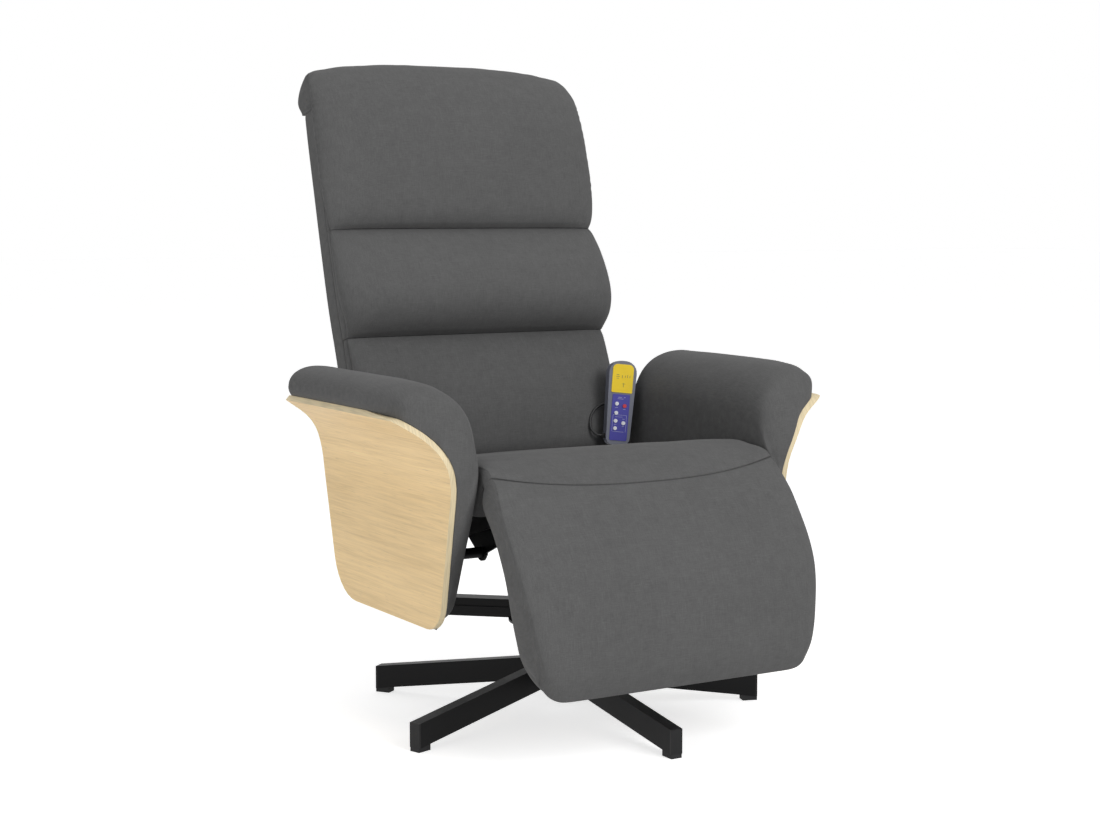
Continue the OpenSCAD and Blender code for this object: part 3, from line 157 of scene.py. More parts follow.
# ---------------------------------------------------------------- materials
class Nodes:
    """Short calls that add nodes to one material."""

    def __init__(self, name):
        self.material = bpy.data.materials.new(name)
        self.material.use_nodes = True
        self.tree = self.material.node_tree
        self.tree.nodes.clear()
        self.out = self.tree.nodes.new("ShaderNodeOutputMaterial")
        self.shader = self.tree.nodes.new("ShaderNodeBsdfPrincipled")
        self.link(self.shader.outputs[0], self.out.inputs["Surface"])
        self.coords = self.tree.nodes.new("ShaderNodeTexCoord")

    def link(self, a, b):
        self.tree.links.new(a, b)

    def scaled(self, x=1.0, y=1.0, z=1.0):
        m = self.tree.nodes.new("ShaderNodeMapping")
        m.inputs["Scale"].default_value = (x, y, z)
        self.link(self.coords.outputs["Object"], m.inputs["Vector"])
        return m.outputs[0]

    def noise(self, vector, scale=1.0, detail=2.0, rough=0.5, distortion=0.0):
        n = self.tree.nodes.new("ShaderNodeTexNoise")
        n.inputs["Scale"].default_value = scale
        n.inputs["Detail"].default_value = detail
        n.inputs["Roughness"].default_value = rough
        n.inputs["Distortion"].default_value = distortion
        self.link(vector, n.inputs["Vector"])
        return n.outputs["Fac"]

    def math(self, kind, a, b=None, c=None, clamped=False):
        m = self.tree.nodes.new("ShaderNodeMath")
        m.operation = kind
        m.use_clamp = clamped
        for i, v in enumerate((a, b, c)):
            if v is None:
                continue
            if isinstance(v, (int, float)):
                m.inputs[i].default_value = v
            else:
                self.link(v, m.inputs[i])
        return m.outputs[0]

    def ramp(self, factor, stops):
        r = self.tree.nodes.new("ShaderNodeValToRGB")
        e = r.color_ramp.elements
        while len(e) < len(stops):
            e.new(0.5)
        for i, (place, colour) in enumerate(stops):
            e[i].position = place
            e[i].color = (*colour, 1)
        self.link(factor, r.inputs[0])
        return r.outputs[0]

    def blend(self, factor, a, b, kind="MIX"):
        m = self.tree.nodes.new("ShaderNodeMix")
        m.data_type = "RGBA"
        m.blend_type = kind
        if isinstance(factor, (int, float)):
            m.inputs[0].default_value = factor
        else:
            self.link(factor, m.inputs[0])
        for socket, v in ((m.inputs[6], a), (m.inputs[7], b)):
            if isinstance(v, tuple):
                socket.default_value = (*v, 1)
            else:
                self.link(v, socket)
        return m.outputs[2]

    def tint(self, base, factor, stops):
        """The base colour times a ramp."""
        return self.blend(1.0, base, self.ramp(factor, stops), "MULTIPLY")

    def bump(self, height, strength, distance, under=None):
        b = self.tree.nodes.new("ShaderNodeBump")
        b.inputs["Strength"].default_value = strength
        b.inputs["Distance"].default_value = distance
        self.link(height, b.inputs["Height"])
        if under:
            self.link(under, b.inputs["Normal"])
        return b.outputs[0]

    def set(self, **values):
        for key, v in values.items():
            socket = self.shader.inputs[key.replace("_", " ")]
            if isinstance(v, bpy.types.NodeSocket):
                self.link(v, socket)
            elif isinstance(v, tuple):
                socket.default_value = (*v, 1)
            else:
                socket.default_value = v
        return self.material


def srgb(r, g, b):
    """Linear colour from 0..255 screen values."""
    def one(v):
        v /= 255
        return v / 12.92 if v <= 0.04045 else ((v + 0.055) / 1.055) ** 2.4
    return one(r), one(g), one(b)


def shade(colour, factor):
    return tuple(clamp(c * factor) for c in colour)


def grey(level):
    return (level, level, level)


def fabric(name, colour):
    """Close plain weave: threads both ways, faint slubs, and a soft mottle over the panel."""
    n = Nodes(name)
    across = n.noise(n.scaled(90, 1300, 1300), rough=0.6)
    along = n.noise(n.scaled(1300, 95, 95), rough=0.6)
    weave = n.math("MULTIPLY", n.math("ADD", across, along), 0.5)
    slub_a = n.noise(n.scaled(22, 480, 480), detail=1.0)
    slub_b = n.noise(n.scaled(480, 24, 24), detail=1.0)
    slub = n.math("SUBTRACT", n.math("MAXIMUM", slub_a, slub_b), 0.6, clamped=True)
    mottle = n.noise(n.scaled(), scale=60.0, detail=3.0, rough=0.65)
    broad = n.noise(n.scaled(), scale=6.0)
    base = n.ramp(weave, [(0.3, shade(colour, 0.82)), (0.52, colour), (0.72, shade(colour, 1.2))])
    base = n.blend(n.math("MULTIPLY", slub, 1.2, clamped=True), base, shade(colour, 1.3))
    base = n.tint(base, mottle, [(0.3, grey(0.94)), (0.7, grey(1.05))])
    base = n.tint(base, broad, [(0.3, grey(0.97)), (0.7, grey(1.03))])
    fine = n.bump(weave, 0.3, 0.0005)
    normal = n.bump(mottle, 0.1, 0.001, fine)
    return n.set(Base_Color=base, Roughness=0.93, Normal=normal, Sheen_Weight=0.06,
                 Sheen_Roughness=0.5, Specular_IOR_Level=0.2)


# Where the wood's cut edge shows: the flared rim faces out and up, the ends face along Y
RIM_NORMAL_X, RIM_NORMAL_Z, RIM_MATCH = 0.848, 0.53, 0.93
END_NORMAL_X = 0.4


def oak(name, colour, edge, side):
    """Light oak veneer with streaks of grain along Y; the cut edge shows paler plies."""
    n = Nodes(name)
    broad = n.noise(n.scaled(9, 1.0, 17), distortion=0.2)
    streak = n.noise(n.scaled(62, 4.5, 125), detail=4.0, rough=0.62, distortion=0.35)
    fibre = n.noise(n.scaled(260, 12, 500), rough=0.55)
    pores = n.noise(n.scaled(420, 34, 620), detail=1.0)
    base = n.ramp(broad, [(0.3, shade(colour, 0.93)), (0.7, shade(colour, 1.05))])
    base = n.tint(base, streak, [(0.28, (0.88, 0.86, 0.81)), (0.5, (1.0, 1.0, 0.99)),
                                 (0.72, (1.08, 1.08, 1.07))])
    base = n.tint(base, fibre, [(0.3, (0.93, 0.92, 0.9)), (0.7, grey(1.05))])
    dark = n.math("SUBTRACT", 0.37, pores, clamped=True)
    dark = n.math("MULTIPLY", dark, 5.0, clamped=True)
    base = n.blend(n.math("MULTIPLY", dark, 0.55), base, shade(colour, 0.62))
    height = n.math("SUBTRACT", n.math("MULTIPLY", fibre, 0.5), dark)
    facing = n.tree.nodes.new("ShaderNodeSeparateXYZ")
    n.link(n.coords.outputs["Normal"], facing.inputs[0])
    rim = n.math("MULTIPLY", facing.outputs[0], side * RIM_NORMAL_X)
    rim = n.math("ADD", rim, n.math("MULTIPLY", facing.outputs[2], RIM_NORMAL_Z))
    ends = n.math("LESS_THAN", n.math("ABSOLUTE", facing.outputs[0]), END_NORMAL_X)
    cut = n.math("MAXIMUM", n.math("GREATER_THAN", rim, RIM_MATCH), ends)
    plies = n.noise(n.scaled(620, 30, 30), detail=0.0)
    base = n.blend(cut, base, n.ramp(plies, [(0.35, shade(edge, 0.86)), (0.6, edge)]))
    return n.set(Base_Color=base, Roughness=0.55, Normal=n.bump(height, 0.2, 0.0003),
                 Coat_Weight=0.08, Coat_Roughness=0.4)


def coated(name, colour, rough=0.45, grain=1400.0, depth=0.00012, wear=0.12, shine=0.5):
    """Paint or plastic with a fine surface, slightly uneven in tone and gloss."""
    n = Nodes(name)
    fine = n.noise(n.scaled(), scale=grain, rough=0.6)
    cloud = n.noise(n.scaled(), scale=18.0, detail=3.0, rough=0.6)
    base = n.ramp(cloud, [(0.3, shade(colour, 1 - wear)), (0.7, shade(colour, 1 + wear))])
    gloss = n.math("MULTIPLY_ADD", cloud, 0.16, rough - 0.08)
    normal = n.bump(fine, 0.3, depth)
    return n.set(Base_Color=base, Roughness=gloss, Metallic=0.0, Normal=normal,
                 Specular_IOR_Level=shine)


def brushed(name, colour, rough=0.32):
    """Bare metal with fine brush lines."""
    n = Nodes(name)
    lines = n.noise(n.scaled(30, 900, 900), rough=0.6)
    cloud = n.noise(n.scaled(), scale=26.0, detail=3.0, rough=0.6)
    base = n.ramp(cloud, [(0.3, shade(colour, 0.84)), (0.7, shade(colour, 1.06))])
    gloss = n.math("MULTIPLY_ADD", lines, 0.22, rough - 0.11)
    return n.set(Base_Color=base, Roughness=gloss, Metallic=1.0, Normal=n.bump(lines, 0.2, 0.0001))


def plywood(name):
    """Birch board with a pale grain."""
    n = Nodes(name)
    grain = n.noise(n.scaled(6, 60, 60), detail=3.0, rough=0.6)
    fibre = n.noise(n.scaled(20, 500, 500), rough=0.6)
    base = n.ramp(grain, [(0.3, srgb(176, 140, 96)), (0.7, srgb(208, 176, 130))])
    fine = n.ramp(fibre, [(0.3, srgb(160, 124, 82)), (0.7, srgb(214, 184, 140))])
    base = n.blend(0.4, base, fine)
    return n.set(Base_Color=base, Roughness=0.7, Normal=n.bump(fibre, 0.3, 0.0003))


GREY_FABRIC = fabric("grey_fabric", srgb(94, 94, 94))
OAK_COLOUR = srgb(250, 219, 166)
OAK_EDGE = srgb(240, 222, 182)
OAK_LEFT = oak("oak_veneer_left", OAK_COLOUR, OAK_EDGE, -1)
OAK_RIGHT = oak("oak_veneer_right", OAK_COLOUR, OAK_EDGE, 1)
BASE_STEEL = coated("base_steel", srgb(12, 12, 13), 0.42, grain=1600.0, shine=0.13)
BLACK_STEEL = coated("black_steel", srgb(14, 14, 15), 0.42, grain=1500.0, shine=0.14)
BRIGHT_STEEL = brushed("bright_steel", srgb(176, 178, 182))
MOTOR_STEEL = brushed("motor_steel", srgb(128, 130, 134), 0.4)
WEIGHT_BRASS = brushed("weight_brass", srgb(196, 164, 96), 0.36)
BLACK_PLASTIC = coated("black_plastic", srgb(20, 20, 21), 0.5, grain=1100.0, depth=0.0002,
                       shine=0.25)
GLIDE_RUBBER = coated("glide_rubber", srgb(26, 26, 27), 0.85, grain=900.0, depth=0.0003)
WHITE_NYLON = coated("white_nylon", srgb(226, 224, 214), 0.5, wear=0.04)
PLYWOOD = plywood("plywood")
HANDSET_PLASTIC = coated("handset_plastic", srgb(112, 115, 128), 0.5, grain=1300.0, wear=0.04)
DISPLAY_YELLOW = coated("display_yellow", srgb(250, 214, 8), 0.34, grain=900.0, depth=0.00002,
                        wear=0.05)
DISPLAY_MARK = coated("display_mark", srgb(150, 138, 60), 0.5, wear=0.05)
KEYPAD_BLUE = coated("keypad_blue", srgb(62, 60, 160), 0.45, grain=1200.0, depth=0.00004,
                     wear=0.06)
KEYPAD_MARK = coated("keypad_mark", srgb(176, 178, 214), 0.5, wear=0.04)
BUTTON_WHITE = coated("button_white", srgb(238, 238, 244), 0.4, grain=1200.0, depth=0.00004,
                      wear=0.03)
BUTTON_RED = coated("button_red", srgb(206, 48, 62), 0.4, grain=1200.0, depth=0.00004,
                    wear=0.05)
CIRCUIT = coated("circuit_board", srgb(28, 96, 54), 0.5, wear=0.1)
CORD_RUBBER = coated("cord_rubber", srgb(24, 24, 25), 0.55, grain=1500.0, depth=0.0001)

SLOT_MATERIAL = {
    "base_steel": BASE_STEEL, "black_steel": BLACK_STEEL, "bright_steel": BRIGHT_STEEL,
    "black_plastic": BLACK_PLASTIC, "glide_rubber": GLIDE_RUBBER, "white_nylon": WHITE_NYLON,
    "plywood": PLYWOOD, "oak_veneer": OAK_LEFT, "grey_fabric": GREY_FABRIC,
    "motor_steel": MOTOR_STEEL, "handset_plastic": HANDSET_PLASTIC,
    "display_yellow": DISPLAY_YELLOW, "keypad_blue": KEYPAD_BLUE, "button_white": BUTTON_WHITE,
    "button_red": BUTTON_RED, "circuit_board": CIRCUIT, "cord_rubber": CORD_RUBBER,
    "weight_brass": WEIGHT_BRASS,
}


def soften_edges(obj, width, angle=35):
    """A small round on the hard edges of a solid, so that they catch the light."""
    m = obj.modifiers.new("Edges", "BEVEL")
    m.width = width
    m.segments = 2
    m.limit_method = "ANGLE"
    m.angle_limit = math.radians(angle)


# ---------------------------------------------------------------- camera
CAMERA_PLACE = (-1.576, -2.607, 0.786)
CAMERA_TILT, CAMERA_TURN = 84.19, -30.85
CAMERA_LENS, SENSOR_WIDTH = 64.0, 36.0


def make_camera():
    data = bpy.data.cameras.new("camera")
    data.lens = CAMERA_LENS
    data.sensor_width = SENSOR_WIDTH
    data.sensor_fit = "HORIZONTAL"
    data.clip_start = 0.05
    data.clip_end = 200.0
    cam = add_object("camera", data)
    cam.location = CAMERA_PLACE
    cam.rotation_euler = (math.radians(CAMERA_TILT), 0.0, math.radians(CAMERA_TURN))
    scene.camera = cam


make_camera()

# ---------------------------------------------------------------- handset cord
CORD_POINTS = [
    (193.7, 163.6, 411.3), (189.2, 165.3, 411.8), (183.5, 167.4, 412.4), (177.2, 169.8, 413.2),
    (171.9, 172.6, 416.6), (168.4, 175.9, 422.2), (167.6, 179.3, 429.4), (169.3, 182.2, 437.2),
    (172.8, 184.4, 445.5), (180.6, 185.9, 454.7), (191, 186.6, 460.7), (202.7, 186.2, 463.8),
    (214.6, 184.6, 465), (226, 182, 465.4), (237, 178.6, 461.8), (237, 180, 453), (243, 181, 441),
    (243.5, 181, 424), (243.5, 181, 404), (243.5, 181, 380), (243.5, 180, 355), (243, 177, 330),
    (240, 172, 309), (230, 167, 293), (212, 163, 285), (190, 160, 282), (165, 156, 281),
    (140, 150, 281), (116, 141, 283), (99, 128, 290), (90, 109, 302), (88, 91, 311), (88, 77, 315),
    (88, 62, 315),
]
CORD_D = 4.5
CORD_STEPS = 4


def make_cord():
    curve = bpy.data.curves.new("handset_lead", "CURVE")
    curve.dimensions = "3D"
    curve.bevel_depth = CORD_D / 2 * MM
    curve.bevel_resolution = 4
    curve.use_fill_caps = True
    line = resample(CORD_POINTS, CORD_STEPS)
    spline = curve.splines.new("POLY")
    spline.points.add(len(line) - 1)
    for point, p in zip(spline.points, line):
        point.co = (p[0] * MM, p[1] * MM, p[2] * MM, 1)
    obj = add_object("handset_lead", curve)
    curve.materials.append(CORD_RUBBER)
    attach(obj, "seat_unit")
    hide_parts("handset_cord")


make_cord()


# ---------------------------------------------------------------- soft bodies
def box_loft(rings, n, m, bulge=(0.0, 0.0)):
    """Closed skin: each ring is n front points, m side points, n rear points, m side points.
    Both ends close with a grid that stands out by its bulge."""
    size = 2 * (n + m)
    points = [tuple(p) for r in rings for p in r]
    faces = []
    last = len(rings) - 1
    for k in range(last):
        for i in range(size):
            j = (i + 1) % size
            faces.append((k * size + i, k * size + j, (k + 1) * size + j, (k + 1) * size + i))
    for k, neighbour, rise in ((0, 1, bulge[0]), (last, last - 1, bulge[1])):
        here = [Vector(p) for p in rings[k]]
        inward = sum((Vector(p) for p in rings[neighbour]), Vector()) / size
        outward = (sum(here, Vector()) / size - inward).normalized()
        grid = {}
        for i in range(n):
            for j in range(m + 2):
                if j == 0:
                    grid[i, j] = k * size + i
                elif j == m + 1:
                    grid[i, j] = k * size + n + m + (n - 1 - i)
                elif i == n - 1:
                    grid[i, j] = k * size + n + j - 1
                elif i == 0:
                    grid[i, j] = k * size + 2 * n + m + (m - j)
                else:
                    a, b = here[i], here[n + m + (n - 1 - i)]
                    across = math.sin(math.pi * i / (n - 1)) ** 0.3
                    full = outward * rise * math.sin(math.pi * j / (m + 1)) * across
                    grid[i, j] = len(points)
                    points.append(tuple(a.lerp(b, j / (m + 1)) + full))
        for i in range(n - 1):
            for j in range(m + 1):
                faces.append((grid[i, j], grid[i + 1, j], grid[i + 1, j + 1], grid[i, j + 1]))
    return points, faces


def closed_ring(front, right, rear, left):
    """One ring of a skin, from rows that all run from left to right or from front to rear."""
    return front + right + rear[::-1] + left[::-1]


def soft_piece(name, points, faces, node, body):
    obj = mesh_piece(name, points, faces, GREY_FABRIC)
    subdivide(obj)
    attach(obj, body)
    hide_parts(node)


# Seat and legrest: one cover from the rear of the seat over the knee to the foot end
LEG_PIVOT = (-208.0, 402.0)
LEG_HANG = math.radians(21.2)
SEAT_HW, KNEE_HW, FOOT_HW = 249.0, 246.0, 229.0
LEG_L = 318.0
BOARD_TOP = 349.3
SEAT_REAR_Y, NOSE_Y = 170.0, -215.0
SEAT_REAR_Z, CREST_Z, NOSE_Z = 396.0, 438.0, 420.0
SEAT_TOP = [
    (0, SEAT_REAR_Z - 9), (0.03, SEAT_REAR_Z), (0.4, mix(SEAT_REAR_Z, CREST_Z, 0.5)),
    (0.7, mix(SEAT_REAR_Z, CREST_Z, 0.86)), (0.82, CREST_Z), (0.92, CREST_Z - 5),
    (0.955, CREST_Z - 8.7), (0.98, CREST_Z - 13.2), (1, NOSE_Z),
]
LEG_FRONT = [
    (-0.045, 13), (0, 21), (0.04, 28), (0.14, 40), (0.28, 52), (0.4, 60), (0.52, 64),
    (0.63, 62), (0.75, 55.6), (0.86, 48), (0.94, 38), (1, 20),
]
LEG_REAR = [
    (0, -19), (0.08, -21), (0.19, -7), (0.31, 2), (0.43, 5), (0.52, 2),
    (0.63, -6), (0.75, -14), (0.83, -18), (0.93, -8), (1, 14),
]
LEG_EDGE_DROP = [
    (-0.05, 3), (0.05, 3), (0.12, 6), (0.25, 9), (0.45, 10), (0.6, 9), (0.7, 8), (0.9, 7), (1, 5),
]
LEG_WIDTH = [
    (0, KNEE_HW), (0.08, 250), (0.16, 254), (0.3, 255), (0.45, 254.5), (0.6, 251), (0.8, 242),
    (1, FOOT_HW + 2),
]
SEAT_ROWS, FAN_ROWS, LEG_ROWS = 26, 9, 34
# Shares of the seat's length where its rows start to fan out round the knee, and where they end
FAN_START, SEAT_END = 0.86, 0.99
# Shares of the leg's length: the nose of the seat, and the first plain row
NOSE_V, LEG_START = -0.043, 0.13
KNEE_CORNER = (-189.0, 393.0)
# Rows across the knee seam: share of the way from the nose to the seam (up to 1) and on to the
# first plain row, and how deep the seam is drawn in
KNEE_SEAM = [
    (0.0, 0), (0.5, -0.6), (0.8, -0.8), (0.93, 0.2), (0.975, 2.4), (1.0, 4.2), (1.025, 2.4),
    (1.07, 0.2), (1.2, -0.8), (1.5, -0.5),
]
COVER_SIDE = (0.05, 0.2, 0.45, 0.72, 0.93)
CROSS = mirrored([1, 0.996, 0.988, 0.976, 0.96, 0.94, 0.915, 0.88, 0.83, 0.76, 0.67, 0.56, 0.44,
                  0.3, 0.15, 0])


def leg_point(q, p):
    """Y and Z of a place on the leg: q down from its pivot, p forward of its middle line."""
    return (LEG_PIVOT[0] - q * math.sin(LEG_HANG) - p * math.cos(LEG_HANG),
            LEG_PIVOT[1] - q * math.cos(LEG_HANG) + p * math.sin(LEG_HANG))


def seat_front(u, c):
    """Y and Z of the seat's top at share u of its length; the edges fall away."""
    drop = 4 * abs(c) ** 2.4 + 9 * (1 - round_in(1 - abs(c), 0.08))
    return mix(SEAT_REAR_Y, NOSE_Y, u), curve_at(SEAT_TOP, u) - drop * min(1, (1 - u) * 9)


def corner_lift(c):
    """Share of the leg's length by which its foot end is shorter at the rounded corners."""
    return 30 * (1 - round_in(1 - abs(c), 0.16)) / LEG_L


def leg_front(v, c):
    """Y and Z of the leg's front at share v of its length, crowned in the middle."""
    crown = 12 * (1 - abs(c) ** 2.6) * math.sin(math.pi * clamp(v * 0.94 + 0.02))
    drop = curve_at(LEG_EDGE_DROP, v) * (1 - round_in(1 - abs(c), 0.1))
    u = v * (1 - corner_lift(c) * max(0, v))
    return leg_point(LEG_L * u, curve_at(LEG_FRONT, v) + max(0, crown) - drop)


def leg_rear(v, c):
    u = v * (1 - corner_lift(c) * v)
    return leg_point(LEG_L * u - 1, curve_at(LEG_REAR, v))


def knee_seam_v(c):
    """Place of the knee seam down the leg: it dips towards the middle."""
    return (-8 + 30 * (1 - abs(c) ** 2.5)) / LEG_L


def cover_rows():
    """Rows along the cover: kind, place, the rear corner if the row has one, dent of the seam."""
    rows = []
    for j in range(SEAT_ROWS):
        u = j / (SEAT_ROWS - 1) * FAN_START
        rows.append(("seat", u, (mix(SEAT_REAR_Y, NOSE_Y, u), BOARD_TOP), 0))
    start = (mix(SEAT_REAR_Y, NOSE_Y, FAN_START), BOARD_TOP)
    for j in range(1, FAN_ROWS + 1):
        t = j / FAN_ROWS
        rear = (mix(start[0], KNEE_CORNER[0], t), mix(start[1], KNEE_CORNER[1], t ** 1.2))
        rows.append(("seat", mix(FAN_START, SEAT_END, t), rear, 0))
    rows += [("seam", share, KNEE_CORNER, dent) for share, dent in KNEE_SEAM]
    for j in range(LEG_ROWS):
        rows.append(("leg", mix(LEG_START, 1.0, (j / (LEG_ROWS - 1)) ** 0.95), None, 0))
    return rows


def cover_front(kind, place, c):
    """Front of a row, in Y and Z, and the cover's half width there."""
    if kind == "seat":
        return seat_front(place, c), mix(SEAT_HW, KNEE_HW, place)
    v = place
    if kind == "seam":
        seam = knee_seam_v(c)
        v = mix(NOSE_V, seam, place) if place <= 1 else mix(seam, LEG_START, (place - 1) * 0.9)
    return leg_front(v, c), curve_at(LEG_WIDTH, max(0, v))


def knee_pucker(kind, place):
    """How much the knee seam puckers a row, from 0 to 1."""
    if kind == "seam":
        return 1
    if kind == "leg":
        return math.exp(-(place - LEG_START) * LEG_L / 16)
    if place > 0.9:
        return math.exp(-(SEAT_END - place) * (SEAT_REAR_Y - NOSE_Y) / 12)
    return 0


def cover_side(front, rear, c):
    """Side of a row, slightly full."""
    points = []
    for t in COVER_SIDE:
        p = front.lerp(rear, t)
        p.x = c * (abs(p.x) + 1.2 + 3.2 * math.sin(math.pi * t) + ripple(0, p.y, p.z, 40) * 0.8)
        points.append(p)
    return points


def seat_and_legrest_cover():
    rings = []
    for kind, place, corner, dent in cover_rows():
        near = knee_pucker(kind, place)
        front_row, rear_row = [], []
        for c in CROSS:
            (y, z), hw = cover_front(kind, place, c)
            rear = corner or leg_rear(0.06 + 0.94 * (place - LEG_START) / (1 - LEG_START), c)
            depth = Vector((0, y - rear[0], z - rear[1]))
            along = depth.normalized()
            # The edges of the rear face are rounded too
            tuck = min(7 * (1 - round_in(1 - abs(c), 0.05)), depth.length * 0.3)
            out = ripple(c * hw, y, z, 70) * 1.3 + ripple(c * hw + 900, y, z, 24) * 0.35
            fade = min(1, (1 - abs(c)) * 9)
            pucker = ripple(c * hw, 0, 0, 17) * 0.7 * near * fade
            front = Vector((c * hw, y, z)) + along * ((out + pucker) * fade - dent)
            if abs(c) == 1:
                front += along * -0.6 - Vector((c, 0, 0)) * 1.4
            front_row.append(front)
            rear_row.append(Vector((c * (hw - 2), *rear)) + along * tuck)
        rings.append(closed_ring(front_row, cover_side(front_row[-1], rear_row[-1], 1),
                                 rear_row, cover_side(front_row[0], rear_row[0], -1)))
    points, faces = box_loft(rings, len(CROSS), len(COVER_SIDE), (3.0, 2.0))
    obj = mesh_piece("seat_and_legrest_cover", points, faces, GREY_FABRIC)
    subdivide(obj)
    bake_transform(obj)
    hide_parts("seat_cushion", "legrest_pad")


seat_and_legrest_cover()

# Back: three rolls on a tilted board, and an upholstered shell behind them
BACK_PIVOT = (205.0, 345.0)
TILT = math.radians(15.0)
SEAM_LOW, SEAM_HIGH, BACK_TOP = 246.5, 427.0, 717.0
BACK_HW, WAIST_HW = 249.0, 238.0
ROLL_REAR = 9.7
SEAM_S = -11


def in_back(x, s, t):
    """From the back's own axes: x across, s to the rear, t up along the board."""
    return (x, BACK_PIVOT[0] + s * math.cos(TILT) + t * math.sin(TILT),
            BACK_PIVOT[1] + t * math.cos(TILT) - s * math.sin(TILT))


PANEL_WIDTH = [(35, 236), (58, 239), (235, 243), (290, 246), (427, 247), (560, 247), (640, 246),
               (680, 245), (720, 240)]
TOP_DROP = [(0, -4), (0.4, -2), (0.6, 1), (0.76, 5), (0.86, 9), (0.93, 13), (0.97, 17), (1, 22)]


# Points across the front of a roll, and shares of the way along its side strip
ROLL_N = 59
ROLL_SIDE = (0.05, 0.22, 0.5, 0.78, 0.95)
# How far the swell and the gathers reach in from the side seam
SWELL_REACH, GATHER_REACH = 9, 17
FAR = 999


def gathers(t):
    """Small folds drawn in along the side seam of the head roll, in two stretches."""
    high = smooth(525, 560, t) * (1 - smooth(640, 675, t))
    low = 0.9 * smooth(484, 492, t) * (1 - smooth(516, 526, t))
    return (high + low) * math.sin(2 * math.pi * t / 13.5 + 2.2 * ripple(0, t, 0, 38))


def roll_strip(front, rear, panel, sign):
    """Side strip of a roll, from its front seam back."""
    rows = []
    for u in ROLL_SIDE:
        x = mix(front[0], sign * panel, min(1, u * 1.6)) + sign * 1.4 * math.sin(math.pi * u)
        rows.append((x, mix(front[1], rear[1], u), front[2]))
    return rows


def back_roll(name, node, t0, t1, front, side, width, rear, keys, gather):
    """Rings across the back from one seam to the next, as the solids have them, with a seam
    down each side where the front panel meets the side strip."""
    head = node == "back_cushion_head"
    rings = []
    for k in keys:
        t = mix(t0, t1, k)
        hw, fs, ss, rs = (curve_at(q, k) for q in (width, front, side, rear))
        panel = min(curve_at(PANEL_WIDTH, t), hw)
        turn = smooth(0.45, 0.85, k) if head else 0.0
        bow_x, bow_s = mix(0.5, 0.56, turn), mix(0.62, 0.68, turn)
        seam_d = min(k * (t1 - t0), FAR if head else (1 - k) * (t1 - t0))
        folds = 2.2 * gathers(t) if head else 0
        front_row, rear_row = [], []
        for i in range(ROLL_N):
            a = math.pi * i / (ROLL_N - 1)
            x = -math.copysign(abs(math.cos(a)) ** bow_x, math.cos(a)) * hw
            if abs(math.cos(a)) < 1e-9:
                x = 0.0
            s = mix(ss, fs, math.sin(a) ** bow_s if 0 < i < ROLL_N - 1 else 0)
            # The panel swells past its seam, and comes back to it
            x -= math.copysign(1, x) * max(0, hw - panel) * math.exp(-abs(ss - s) / SWELL_REACH)
            edge = abs(hw - abs(x)) + abs(ss - s) * 0.5
            pucker = ripple(x + 331, t0, 0, 15) * 1.3 * math.exp(-seam_d / 9) * min(1, seam_d / 3)
            pull = gather * math.exp(-abs(ss - s) / GATHER_REACH)
            out = ripple(x, t, t0, 80) * 1.6 + ripple(x, t + 700, t0, 26) * 0.4
            fade = min(1, edge / 25) * min(1, seam_d / 12)
            s -= out * fade + pucker + pull * ripple(0, t, x, 10) * 2.2
            x += math.copysign(1, x) * pull * (ripple(5, t, 0, 12) * 1.6 + folds)
            front_row.append((x, s, t))
            rear_row.append(((panel - 2) * (2 * i / (ROLL_N - 1) - 1), rs, t))
        right = roll_strip(front_row[-1], rear_row[-1], panel, 1)
        left = roll_strip(front_row[0], rear_row[0], panel, -1)
        # The side seam itself is drawn in
        for i, sign in ((0, -1), (-1, 1)):
            x, s, t = front_row[i]
            front_row[i] = (x - sign * 2.2, s + 0.3, t)
        ring = closed_ring(front_row, right, rear_row, left)
        if head:
            fall = smooth(0.66, 1, k)
            ring = [(x, s, t - curve_at(TOP_DROP, min(1, abs(x) / BACK_HW)) * fall
                     + ripple(x, 60, 0, 19) * 1.5 * smooth(0.93, 1, k)) for x, s, t in ring]
        rings.append([in_back(*p) for p in ring])
    points, faces = box_loft(rings, ROLL_N, len(ROLL_SIDE), (0.0, 2.0 if head else 0.0))
    soft_piece(name, points, faces, node, "backrest")


# Half the gap between two rolls
ROLL_GAP = 0.15
FLAT_REAR = [(0, ROLL_REAR), (1, ROLL_REAR)]
back_roll(
    "back_roll_lower", "back_cushion_lower", 35, SEAM_LOW - ROLL_GAP,
    front=[(0, -26), (0.04, -36), (0.12, -43), (0.35, -47), (0.6, -43), (0.8, -34), (0.93, -23),
           (1, SEAM_S)],
    side=[(0, -10), (0.35, -14), (0.8, -8), (1, -3)],
    width=[(0, WAIST_HW - 6), (0.3, WAIST_HW + 2), (0.6, WAIST_HW + 5), (0.95, WAIST_HW + 5),
           (1, WAIST_HW + 4)],
    rear=FLAT_REAR,
    keys=spread([0, 0.04, 0.12, 0.3, 0.5, 0.7, 0.85, 0.95, 0.985, 1], 3),
    gather=0.25)
back_roll(
    "back_roll_middle", "back_cushion_middle", SEAM_LOW + ROLL_GAP, SEAM_HIGH - ROLL_GAP,
    front=[(0, SEAM_S), (0.03, -29), (0.1, -50), (0.2, -65), (0.32, -71), (0.47, -68), (0.62, -61),
           (0.77, -49), (0.9, -33), (0.97, -21), (1, SEAM_S)],
    side=[(0, -3), (0.12, -12), (0.3, -9), (0.6, -5), (0.85, -1), (1, 0)],
    width=[(0, WAIST_HW + 5), (0.15, BACK_HW + 4), (0.35, BACK_HW + 10), (0.7, BACK_HW + 9),
           (0.93, BACK_HW + 5), (1, BACK_HW + 1)],
    rear=FLAT_REAR,
    keys=spread([0, 0.012, 0.03, 0.1, 0.2, 0.32, 0.47, 0.62, 0.77, 0.9, 0.97, 0.988, 1], 3),
    gather=0.3)
